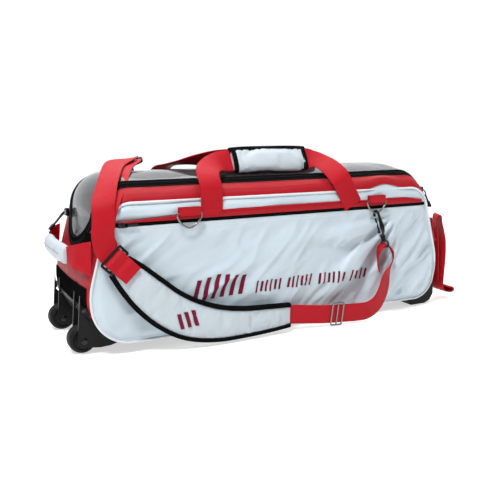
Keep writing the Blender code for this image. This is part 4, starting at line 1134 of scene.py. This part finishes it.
TOW_SPOT = Vector((0.3935, -0.093, 0.0))
TOW_OUT = Vector((0.884, -0.467, 0.0)).normalized()
TOW_INNER = [  # x, y, z, then its width direction; the turn over the end strap is made from TOW_TURN
    (0.399, -0.0935, 0.046, 0, 1, 0), (0.3982, -0.0935, 0.075, 0, 1, 0),
    (0.3978, -0.0937, 0.12, 0.1, 0.99, 0), (0.3976, -0.0945, 0.15, 0.3, 0.95, 0),
]
TOW_TURN = [(0.0045, 0.178), (0.0055, 0.1885), (0.009, 0.1925), (0.013, 0.1885), (0.0145, 0.178)]
TOW_OUTER = [(0.4115, -0.0975, 0.158, 0.3, 0.95, 0), (0.416, -0.095, 0.132, 0.1, 0.99, 0),
             (0.417, -0.0935, 0.095, 0, 1, 0)]
TOW_HANG_Y = -0.093
TOW_HANG = [  # (x, z) of the lower stretch, which ends in a folded loop
    (0.4158, 0.06), (0.415, 0.038), (0.4172, 0.027), (0.424, 0.0205), (0.434, 0.0175), (0.444, 0.0168),
    (0.449, 0.0205), (0.445, 0.0262), (0.435, 0.028), (0.424, 0.032),
]


def make_tow_strap():
    """Doubled strap that hangs from the end strap."""
    turn = [(*(TOW_SPOT + TOW_OUT * out).xy, z, -TOW_OUT.y, TOW_OUT.x, 0) for out, z in TOW_TURN]
    hang = [(x, TOW_HANG_Y, z, 0, 1, 0) for x, z in TOW_HANG]
    path, across = routed(TOW_INNER + turn + TOW_OUTER + hang)
    finish_piece("tow_strap_webbing", web(path, across, STRAP_WEB, 0.0026), "web", "tow", ["tow_strap"])


# Shoulder strap

UPPER_ROUTE = [  # rear hook, over the lid and the front corner, down to the slider
    (-0.224, 0.1087, 0.3176, 0.93, -0.15, 0.25), (-0.242, 0.075, 0.3195, 0.9, -0.35, 0.05),
    (-0.274, 0.033, 0.315, 0.94, 0.2, 0), (-0.296, -0.015, 0.3085, 0.94, 0.3, 0.14),
    (-0.315, -0.062, 0.2985, 0.92, 0.28, 0.3), (-0.333, -0.102, 0.282, 0.9, 0.22, 0.38),
    (-0.346, -0.129, 0.26, 0.94, 0.1, 0.3), (-0.349, -0.138, 0.233, 1, 0, 0.12),
    (-0.351, -0.14, 0.206, 1, 0, 0.05), (-0.346, -0.1405, 0.185, 0.9, 0, 0.4),
    (-0.339, -0.141, 0.175, 0.8, 0, 0.6),
]
SECOND_ROUTE = [  # the doubled end: back from the slider, over the corner, beside the top layer
    (-0.218, 0.106, 0.313, 0.93, -0.15, 0.25), (-0.232, 0.075, 0.314, 0.92, -0.25, 0.05),
    (-0.259, 0.033, 0.31, 0.94, 0.2, 0), (-0.28, -0.015, 0.304, 0.94, 0.3, 0.14),
    (-0.3, -0.062, 0.293, 0.92, 0.28, 0.3), (-0.321, -0.102, 0.275, 0.9, 0.22, 0.38),
    (-0.34, -0.127, 0.254, 0.94, 0.1, 0.3), (-0.3475, -0.135, 0.231, 1, 0, 0.12),
    (-0.3505, -0.1368, 0.206, 1, 0, 0.05), (-0.345, -0.1375, 0.188, 0.9, 0, 0.4),
]
LOWER_ROUTE = [  # pad to the metal slider
    (-0.012, -0.1488, 0.0334, 0, 0.08, -1), (0.006, -0.149, 0.033, 0, 0.1, -1),
    (0.035, -0.153, 0.03, 0, 0.12, -1), (0.065, -0.159, 0.0275, 0, 0.14, -1),
    (0.079, -0.1615, 0.0268, 0, 0.15, -1), (0.1, -0.164, 0.026, 0, 0.15, -1),
]
FRONT_ROUTE = [  # metal slider, up the loose bend, through the front hook's eye and back down
    (0.092, -0.1633, 0.0262, 0, 0.15, -1), (0.107, -0.165, 0.0258, 0, 0.15, -1),
    (0.14, -0.17, 0.025, 0, 0.16, -1), (0.162, -0.1722, 0.0268, 0.15, 0.15, -0.98),
    (0.183, -0.1715, 0.0375, 0.5, 0.2, -0.85), (0.1985, -0.169, 0.057, 0.78, 0.3, -0.5),
    (0.2095, -0.164, 0.079, 0.88, 0.42, -0.2), (0.2205, -0.1595, 0.0985, 0.75, 0.6, -0.05),
    (0.228, -0.161, 0.118, 0.66, 0.74, 0), (0.2245, -0.1615, 0.137, 0.5, 0.86, 0),
    (0.2165, -0.16, 0.148, 0.42, 0.9, 0), (0.2091, -0.1573, 0.1521, 0.4, 0.92, -0.08),
    (0.2015, -0.1548, 0.147, 0.42, 0.9, -0.05), (0.197, -0.1535, 0.133, 0.5, 0.86, 0),
    (0.1965, -0.1535, 0.115, 0.6, 0.78, 0), (0.2, -0.1542, 0.101, 0.62, 0.78, 0),
]
PAD_ROUTE = [  # centre line of the shoulder pad, then its width
    (-0.327, -0.145, 0.158, 0.046), (-0.306, -0.1465, 0.135, 0.06), (-0.279, -0.148, 0.106, 0.07),
    (-0.245, -0.149, 0.076, 0.074), (-0.205, -0.151, 0.053, 0.074), (-0.155, -0.1535, 0.0395, 0.066),
    (-0.1, -0.153, 0.0345, 0.057), (-0.05, -0.151, 0.0335, 0.052), (-0.005, -0.149, 0.0335, 0.046),
]
SLIDER_SPOT = Vector((-0.335, -0.145, 0.1705))     # middle bar of the black slider


def make_upper_strap():
    """Two layers of webbing over the lid, each split at the lid's middle."""
    for name, route, nodes in (("strap_upper", UPPER_ROUTE, ["strap_upper_web"]),
                               ("strap_second", SECOND_ROUTE, [])):
        path, across = routed(route, 10)
        cut = min(range(len(path)), key=lambda i: abs(path[i].y))
        rear = web(path[:cut + 1], across[:cut + 1], STRAP_WEB)
        front = web(path[cut:], across[cut:], STRAP_WEB)
        finish_piece(name + "_rear_webbing", rear, "web",
                     blend=("lid", "bag", (0.0, 0.06, 0.3), (0.0, 0.104, 0.3)))
        finish_piece(name + "_front_webbing", front, "web", nodes=nodes,
                     blend=("bag", "lid", (0.0, -0.122, 0.3), (0.0, -0.07, 0.3)))


def make_slider_return():
    """The webbing's sewn end: through the black slider and down on to the top of the pad."""
    down = Vector((0.69, 0.0, -0.72))
    rows = [(*(SLIDER_SPOT + down * out + FRONT * proud), 0.72, 0.0, 0.69) for out, proud in
            ((-0.015, -0.003), (-0.006, -0.0008), (0.0, 0.0042), (0.008, 0.0046),
             (0.014, 0.0048), (0.022, 0.0092), (0.03, 0.0104), (0.039, 0.0108))]
    path, across = routed(rows, 5)
    finish_piece("strap_slider_return", web(path, across, STRAP_WEB * 0.95), "web")
    edge_stitches(path[-9:], across[-9:], STRAP_WEB * 0.95, 0.0011, "dark_thread")


def make_lower_straps():
    """Webbing between pad and adjuster, and from there to the front hook."""
    for name, route in (("lower", LOWER_ROUTE), ("front", FRONT_ROUTE)):
        path, across = routed(route, 8)
        finish_piece(f"strap_{name}_webbing", web(path, across, STRAP_WEB), "web",
                     nodes=[f"strap_{name}_web"])


def pad_lines():
    """(point, width direction, width) along the shoulder pad."""
    path = smooth_path([row[:3] for row in PAD_ROUTE], 13)
    widths = [row.x for row in smooth_path([(row[3], 0.0, 0.0) for row in PAD_ROUTE], 13)]
    ups = [FRONT.cross(tangent(path, i)).normalized() for i in range(len(path))]
    return list(zip(path, ups, widths))


def make_shoulder_pad():
    """The cushion, its folds, and the binding along both of its edges."""
    lines = pad_lines()
    rings = []
    for i, (here, up, width) in enumerate(lines):
        deep = 0.005 * (0.55 + 0.45 * smooth(min(i, len(lines) - 1 - i) / 4))
        rings.append(flat_loop(here, up, FRONT, width / 2 - 0.0015, deep, 2.8, 40))
    pad = finish_piece("shoulder_pad_cushion", loft(rings), "padding", nodes=["shoulder_pad"])

    def from_edge(p):
        """How far p is inside the pad's nearer edge, and in front of its middle."""
        here, up, width = min(lines, key=lambda line: (line[0] - p).length_squared)
        return width / 2 - abs((p - here).dot(up)), (p - here).dot(FRONT)

    def held(p):
        return from_edge(p)[0] < 0.0085 or min((p - lines[end][0]).length for end in (0, -1)) < 0.028

    inflate(pad, held, pressure=3.0, swell=0.03, cap=0.0034)
    for name, side in (("top", 1), ("low", -1)):
        rings = [flat_loop(here + up * (side * (width / 2 - 0.0034)), up, FRONT, 0.0044, 0.0064, 2.6, 18)
                 for here, up, width in lines]
        finish_piece(f"shoulder_pad_{name}_binding", loft(rings), "black")
        stitch([here + up * (side * (width / 2 - 0.007)) + FRONT * 0.006 for here, up, width in lines],
               FRONT, "black_thread")
    for vert in pad.data.vertices:
        p = vert.co - SHIFT
        inside, proud = from_edge(p)
        if proud > 0.002:
            calm = smooth((inside - 0.006) / 0.01)
            vert.co += FRONT * (0.0048 * calm * max(folds(p.x, p.z, 87.0, 0.026, 1.25, 3.0), -0.35))
    return pad


def three_bar(name, node, centre, along, across, look, length, height, wire):
    """Slider with two slots: rounded outer loop and a middle bar, in the plane given."""
    bm = tube(flat_loop(centre, across, along, length / 2 - wire, height / 2 - wire, 14.0, 64), wire, 10,
              closed=True)
    half = across * (length / 2 - wire)
    tube([centre - half, centre, centre + half], wire * 0.9, 10, bm=bm)
    finish_piece(name, bm, look, nodes=[node])


def make_sliders():
    """Black three-bar slider and bright wire adjuster."""
    three_bar("black_strap_slider", "strap_slider", SLIDER_SPOT, Vector((0.69, 0.0, -0.72)).normalized(),
              Vector((0.72, 0.0, 0.69)).normalized(), "plastic", 0.048, 0.024, 0.0022)
    along = Vector((1.0, -0.1, -0.03)).normalized()
    three_bar("wire_strap_adjuster", "strap_adjuster", Vector((0.093, -0.1655, 0.0262)), along,
              square_to(along, Vector((0.0, 0.15, -1.0))), "steel", 0.049, 0.027, 0.0017)


# Rings and hooks

RING_X = middle("d_ring_rear_right").x - SHIFT.x
RING_BAR_Y, RING_BAR_Z, RING_HALF, RING_DROP = 0.139, 0.2365, 0.0225, 0.0245
RING_SINK = 0.008           # how much lower the bar of the rear left ring sits
RING_WIRE, RING_WIRE_SIDES = 0.0017, 14
TAB_FOLD, TAB_WEB, TAB_THICK = 0.0032, 0.04, 0.0014


def make_rings():
    """The four D-rings and the folded tabs that hold them; the rear left one stands up."""
    for depth, side in FACES:
        for end, x in (("left", -RING_X), ("right", RING_X)):
            up = depth == "rear" and end == "left"
            y, z = side * RING_BAR_Y, RING_BAR_Z - (RING_SINK if up else 0.0)
            drop, rise = (-RING_DROP, -1) if up else (RING_DROP, 1)
            path = [Vector((a, y, z)) for a in spread(x - RING_HALF, x + RING_HALF, 6)]
            for k in range(1, 28):
                angle = math.pi * k / 28
                out = math.copysign(abs(math.cos(angle)) ** 1.25, math.cos(angle))
                path.append(Vector((x + RING_HALF * out, y,
                                    z - drop * (0.1 + 0.9 * math.sin(angle) ** 1.25))))
            finish_piece(f"ring_{depth}_{end}", tube(path, RING_WIRE, RING_WIRE_SIDES, closed=True), "steel",
                         f"ring_{depth}_{end}", [f"d_ring_{depth}_{end}"])
            fold, turn = side * TAB_FOLD, spread(0.0, math.pi, 10)
            path = [Vector((x, y + fold, z + rise * leg)) for leg in (0.0115, 0.006)]
            path += [Vector((x, y + fold * math.cos(a), z - rise * TAB_FOLD * math.sin(a))) for a in turn]
            path += [Vector((x, y - fold, z + rise * leg)) for leg in (0.006, 0.0115)]
            finish_piece(f"ring_loop_{depth}_{end}", web(path, [ALONG] * len(path), TAB_WEB, TAB_THICK),
                         "web", nodes=[f"ring_tab_{depth}_{end}"])
            stitch([Vector((x + out, y + fold + side * 0.0008, z + rise * 0.0095))
                    for out in (-0.018, 0.018)], Vector((0.0, side, 0.0)), "dark_thread")


def hook_frame(end_point, aim, out):
    """Matrix with its origin in the jaw, -Z along aim to the webbing eye, Y across the jaw."""
    back = -aim.normalized()
    across = square_to(back, out)
    rotation = Matrix((across.cross(back), across, back)).transposed().to_4x4()
    return Matrix.Translation(end_point) @ rotation


HOOK_SCALE = 1.1
JAW = 0.0063                # radius of a hook's bend
FRONT_HOOK = hook_frame(Vector((RING_X, -RING_BAR_Y - 0.0008, RING_BAR_Z - RING_DROP - 0.0022)),
                        Vector((0.16, -0.32, -1.0)), FRONT)
FRONT_EYE = Vector((0.4, 0.92, -0.08))   # the way the webbing lies in each hook's eye
REAR_HOOK = hook_frame(Vector((-RING_X - 0.0012, RING_BAR_Y + 0.001,
                               RING_BAR_Z - RING_SINK + RING_DROP + 0.0021)),
                       Vector((-0.26, -0.31, 0.7)), -FRONT)
REAR_EYE = Vector((0.95, -0.1, 0.3))


def make_hook(name, place, web_across):
    """Snap hook: a forged spine that swells at its back, a swivel collar, an eye and a gate."""
    bend = JAW
    frame_now = place @ Matrix.Scale(HOOK_SCALE, 4)
    swivel = math.atan2(web_across.dot(place.col[1].xyz), web_across.dot(place.col[0].xyz))
    spine = [Vector((0.0, 0.0, -0.04)), Vector((0.0, bend * 0.6, -0.035)),
             Vector((0.0, bend, -0.029)), Vector((0.0, bend, -0.015)), Vector((0.0, bend, -0.002))]
    for k in range(13):
        angle = math.pi * k / 12
        spine.append(Vector((0.0, bend * math.cos(angle), bend * math.sin(angle))))
    spine.append(Vector((0.0, -bend, -0.003)))
    path = smooth_path(spine, 3)
    rings = []
    for i, here in enumerate(path):
        out = tangent(path, i).cross(ALONG).normalized()
        broad = 0.0022 + 0.0026 * math.exp(-((here.z + 0.022) / 0.01) ** 2) * (here.y > 0)
        rings.append(flat_loop(here, ALONG, out, broad, 0.0019, 2.4, 16))
    bm = loft(rings)
    turned([(0.0, -0.049), (0.004, -0.049), (0.0047, -0.0482), (0.0047, -0.0468), (0.0038, -0.0458),
            (0.0038, -0.0452), (0.0046, -0.0444), (0.0046, -0.041), (0.004, -0.0385),
            (0.0026, -0.0365), (0.0, -0.036)], Vector(), "Z", 28, bm)
    loop = flat_loop(Vector((0.0, 0.0, -0.0555)), ALONG, UP, 0.0235, 0.0055, 5.0, 56)
    eye = moved(tube(loop, 0.0017, 12, closed=True), Matrix.Rotation(swivel, 4, "Z"))
    copy_into(bm, eye)
    finish_piece(name + "_forging", moved(bm, frame_now), "gunmetal", nodes=[name + "_body"])
    bm = tube(smooth_path([(0.0, -bend, -0.033), (0.0, 0.0002 - bend, -0.026),
                           (0.0, -bend, -0.02), (0.0, -bend, -0.0062)], 4), 0.0017)
    block((-0.0022, -bend - 0.0022, -0.0345), (0.0022, -bend + 0.0012, -0.0305), 0.0007, 2, bm)
    block((-0.0015, -bend - 0.0034, -0.019), (0.0015, -bend - 0.001, -0.013), 0.0006, 2, bm)
    body = name.replace("_hook", "_gate")
    finish_piece(name + "_thumb_gate", moved(bm, frame_now), "gunmetal", body, [name + "_gate"])


# Zip sliders and pulls

def make_zip_pulls():
    """Sliders and pulls of both zips, each placed on its node's box."""
    for (name, side), tilt in zip(ENDS, (-42, -30)):
        low, high = local("main_zip_slider_" + name)
        bm = block(low, high, 0.0016, 3)
        spot = (low + high) / 2
        bridge = [spot + Vector((side * out, 0.0, z)) for out, z in
                  ((0.0028, 0.0055), (0.0052, 0.0048), (0.0056, 0.0), (0.0052, -0.0048), (0.0028, -0.0055))]
        tube(smooth_path(bridge, 4), 0.0009, 8, bm=bm)
        finish_piece(f"main_slider_{name}", bm, "gunmetal", nodes=[f"main_zip_slider_{name}"])
        hinge = spot + Vector((side * 0.0058, 0.0, 0.0))
        hang = Matrix.Translation(hinge) @ Matrix.Rotation(side * math.radians(tilt), 4, "Y")
        ring = flat_loop(Vector((0.0, 0.0, -0.0062)), UP, -FRONT, 0.0068, 0.0054, 2.6, 32)
        bm = tube(ring, 0.0013, 8, closed=True)
        block((-0.0013, -0.0046, -0.033), (0.0013, 0.0046, -0.0125), 0.001, 2, bm)
        block((-0.0026, -0.0058, -0.043), (0.0026, 0.0058, -0.029), 0.0018, 3, bm)
        look = "gunmetal" if side < 0 else "plastic"
        finish_piece(f"main_pull_{name}", moved(bm, hang), look, f"{name}_zip_pull",
                     [f"main_zip_pull_{name}"])
    low, high = local("pocket_zip_slider")
    bm = block(low, high, 0.0012, 3)
    spot = (low + high) / 2
    tube(smooth_path([spot + Vector((a, -b, 0.0)) for a, b in
                      ((-0.0045, 0.001), (-0.002, 0.0026), (0.002, 0.0026), (0.0045, 0.001))], 4),
         0.0007, 8, bm=bm)
    finish_piece("pocket_slider_body", bm, "gunmetal", "pocket_slider", ["pocket_zip_slider"])
    low, high = local("pocket_zip_pull")
    ring = flat_loop(Vector((low.x + 0.0045, low.y, (low.z + high.z) / 2)), ALONG, UP, 0.0045, 0.0034,
                     3.0, 28)
    bm = tube(ring, 0.0007, 8, closed=True)
    block((low.x + 0.008, low.y - 0.0003, low.z + 0.0004), (high.x, low.y + 0.0009, high.z - 0.0004),
          0.0006, 2, bm)
    finish_piece("pocket_pull_tab", bm, "gunmetal", "pocket_pull", ["pocket_zip_pull"])


def make_zip_garages():
    """Ribbed tape where the main zip ends, below the lid's tips."""
    ridges = [(y, 0.0026 + 0.0007 * math.sin(11 * math.pi * share))
              for y, share in zip(spread(-0.098, -0.064, 32), spread(0.0, 1.0, 32))]
    for name, side in ENDS:
        outer = [[skin_point(side * s, y, lift) for y, lift in ridges]
                 for s in spread(s_at_height(0.203), s_at_height(0.166), 12)]
        cloth(f"zip_garage_{name}", outer, Vector((-side * 0.0022, 0.0, 0.0)), "tape")


# Wheels, housing, foot and insides

def full_profile(half):
    """A turned profile and its mirror image in the middle of its width."""
    return half + [(radius, -along) for radius, along in reversed(half)]


def make_wheels():
    """Both wheels, each with ribbed spokes in its hub, and their axles."""
    for name, _ in FACES:
        low, high = local("wheel_" + name)
        hub, half, radius = (low + high) / 2, (high.y - low.y) / 2, (high.z - low.z) / 2
        rim = [(0.0034, 0.0), (0.012, 0.0), (0.0128, 0.0008), (0.0132, 0.0026), (0.015, 0.0032),
               (0.0168, 0.0026), (0.0176, 0.0012), (0.0208, 0.0014), (0.0226, 0.003),
               (radius - 0.0006, 0.0062), (radius - 0.0001, 0.01), (radius, half - 0.0022),
               (radius - 0.0012, half - 0.0016), (radius - 0.0012, half - 0.0004)]
        profile = full_profile([(r, deep - half) for r, deep in rim])
        finish_piece(f"wheel_{name}_tread", turned(profile, hub, "Y", 72), "tyre", name + "_wheel",
                     ["wheel_" + name])
        bm = bmesh.new()
        for side in (-1, 1):
            face = side * (half - 0.0018)
            for k in range(5):
                spoke = block((-0.0016, face - 0.0016, 0.0042), (0.0016, face + 0.0016, 0.0118), 0.0006, 2)
                turn = Matrix.Rotation(2 * math.pi * k / 5, 4, "Y")
                copy_into(bm, moved(spoke, Matrix.Translation(hub) @ turn))
        finish_piece(f"wheel_{name}_spokes", bm, "plastic", name + "_wheel")
        low, high = local("wheel_axle_" + name)
        reach = (high.y - low.y) / 2
        head = [(0.0, 0.0), (0.003, 0.0), (0.0046, 0.0005), (0.0056, 0.0014), (0.0056, 0.0022),
                (0.003, 0.0024)]
        bm = turned(full_profile([(r, deep - reach) for r, deep in head]), hub, "Y", 32)
        finish_piece(f"axle_{name}", bm, "gunmetal", nodes=["wheel_axle_" + name])


def copy_into(bm, other):
    """Adds another mesh's shape to this one."""
    spare = bpy.data.meshes.new("spare")
    other.to_mesh(spare)
    other.free()
    bm.from_mesh(spare)
    bpy.data.meshes.remove(spare)


def rounded_copy(name, node, look, width):
    """A CAD node's own shape with softened edges, standing for it."""
    piece = placed(name, frame["nodes"][node].data.copy())
    piece.data.materials.clear()
    piece.data.materials.append(LOOKS[look][1])
    bm = bmesh.new()
    bm.from_mesh(piece.data)
    bmesh.ops.remove_doubles(bm, verts=bm.verts, dist=1e-5)
    bmesh.ops.dissolve_limit(bm, angle_limit=math.radians(1.0), verts=bm.verts, edges=bm.edges)
    bm.to_mesh(piece.data)
    bm.free()
    bevel = piece.modifiers.new("soft_edges", "BEVEL")
    bevel.width, bevel.segments, bevel.limit_method = width, 2, "ANGLE"
    bevel.angle_limit = math.radians(35)
    piece.data.shade_smooth()
    piece.data.set_sharp_from_angle(angle=math.radians(45))
    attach(piece, "bag")
    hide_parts(node)


def make_hard_parts():
    """Housing and foot with softened edges; finishes for the insides."""
    rounded_copy("wheel_housing_shell", "wheel_housing", "plastic", 0.001)
    rounded_copy("end_foot", "end_skid", "plastic", 0.0018)
    nodes = frame["nodes"]
    for name in ("left", "middle", "right"):
        nodes["ball_cup_" + name].data.materials[0] = LOOKS["foam"][1]
    nodes["base_board"].data.materials[0] = LOOKS["board"][1]


# Printed motif: plain slanted bars

PRINT_FROM_Y = -0.2         # in front of every piece that is printed on
INK_LIFT = 0.0006


def motif(name, bars, piece):
    """Thin printed bars laid on the piece below them. A bar is (x, z, width, height, lean)."""
    bpy.context.view_layer.update()
    graph = bpy.context.evaluated_depsgraph_get()
    bm = bmesh.new()
    uv = bm.loops.layers.uv.verify()
    for x, z, width, height, lean in bars:
        across, up = max(2, round(width / 0.0018)), max(3, round(height / 0.0018))
        grid = []
        for rise in spread(0.0, height, up):
            row = []
            for aside in spread(0.0, width, across):
                spot = Vector((x + aside + lean * rise, PRINT_FROM_Y, z + rise)) + SHIFT
                found, where, _, _ = piece.ray_cast(spot, -FRONT, depsgraph=graph)
                if not found:
                    where = Vector((spot.x, SHIFT.y - 0.13, spot.z))
                row.append(bm.verts.new(where - SHIFT + FRONT * INK_LIFT))
            grid.append(row)
        for low, high in zip(grid, grid[1:]):
            for j in range(across):
                face = bm.faces.new((low[j], low[j + 1], high[j + 1], high[j]))
                for loop in face.loops:
                    loop[uv].uv = (loop.vert.co.x, loop.vert.co.z)
    return finish_piece(name, bm, "ink")


def make_motifs(pocket, pad):
    """A row of large bars and four groups of small ones, and three on the pad."""
    bars = [(-0.196 + 0.0185 * k, 0.078 + 0.0006 * k, 0.0085, 0.044 - 0.003 * abs(k - 2), 0.3)
            for k in range(6)]
    for k in range(26):
        if k % 7 < 6:
            short, wide = ((0.0, 0.0036), (0.004, 0.0052), (0.0015, 0.0042))[k % 3]
            bars.append((-0.07 + 0.01 * k, 0.08 + short / 2, wide, 0.0225 - short, 0.22))
    motif("pocket_motif", bars, pocket)
    bars = [(-0.228 + 0.0135 * k, 0.04 + 0.0016 * k, 0.0075, 0.028, -0.25) for k in range(3)]
    motif("pad_motif", bars, pad)


# Stage, light and camera

BRIGHT_SIDE = (0.468, 0.884, 0.0)       # the backdrop is brightest this way
FLOOR_HALF = 3.0


def make_stage():
    """Pale floor, a world that is bright on the side away from the camera, and four soft lights."""
    bm = bmesh.new()
    bmesh.ops.create_grid(bm, x_segments=1, y_segments=1, size=FLOOR_HALF)
    mesh = bpy.data.meshes.new("studio_floor")
    bm.to_mesh(mesh)
    bm.free()
    mesh.materials.append(Finish("pale_floor", (0.66, 0.66, 0.66), 0.8, Specular_IOR_Level=0.0,
                                 Emission_Color=(1.0, 1.0, 1.0, 1.0), Emission_Strength=0.58).material)
    placed("studio_floor", mesh)
    bpy.context.scene.view_settings.view_transform = "Standard"
    world = bpy.data.worlds.new("studio")
    bpy.context.scene.world = world
    world.use_nodes = True
    tree = world.node_tree
    backdrop = tree.nodes["Background"]
    backdrop.inputs["Color"].default_value = (0.97, 0.98, 1.0, 1.0)
    ray = add_node(tree, "TexCoord").outputs["Generated"]
    toward = add_node(tree, "VectorMath", {0: ray, 1: BRIGHT_SIDE}, operation="DOT_PRODUCT")
    share = add_node(tree, "MapRange", {"Value": toward.outputs["Value"], "From Min": -0.2,
                                        "From Max": 0.8, "To Min": 0.14, "To Max": 1.05})
    tree.links.new(share.outputs["Result"], backdrop.inputs["Strength"])
    middle_of_bag, behind = Vector((0.0, 0.0, 0.15)), Vector((0.8, 1.5, 0.0))
    for name, spot, aim, size, power in (("key", (-1.05, -0.85, 2.0), middle_of_bag, 0.5, 46.0),
                                         ("fill", (1.9, -1.9, 1.0), middle_of_bag, 1.8, 5.0),
                                         ("top", (0.2, 0.2, 2.4), middle_of_bag, 1.8, 26.0),
                                         ("back", (0.9, 1.7, 2.2), behind, 2.4, 30.0)):
        light = bpy.data.lights.new(name, "AREA")
        light.energy, light.size = power, size
        lamp = placed(name, light)
        lamp.location = spot
        lamp.rotation_euler = (aim - Vector(spot)).to_track_quat("-Z", "Y").to_euler()


CAMERA_SPOT = Vector((-0.639, -1.189, 0.39))
CAMERA_TURN, CAMERA_DIP = math.radians(27.88), math.radians(10.82)
LENS = 48.23


def make_camera():
    """The camera that the opening view is seen from."""
    data = bpy.data.cameras.new("camera")
    data.lens, data.sensor_width = LENS, 36.0
    camera = placed("camera", data)
    camera.location = CAMERA_SPOT + SHIFT
    camera.rotation_euler = (math.radians(90) - CAMERA_DIP, 0.0, -CAMERA_TURN)
    bpy.context.scene.camera = camera


pocket_cloth = make_side_panels()
make_piping()
make_pocket_zip()
make_lid()
make_bands()
make_bottom()
make_handles()
make_wrap()
make_end_straps()
make_tow_strap()
make_upper_strap()
make_slider_return()
make_lower_straps()
shoulder_cushion = make_shoulder_pad()
make_sliders()
make_rings()
make_hook("front_hook", FRONT_HOOK, FRONT_EYE)
make_hook("rear_hook", REAR_HOOK, REAR_EYE)
make_zip_pulls()
make_zip_garages()
make_wheels()
make_hard_parts()
make_motifs(pocket_cloth, shoulder_cushion)
sew()
make_stage()
make_camera()
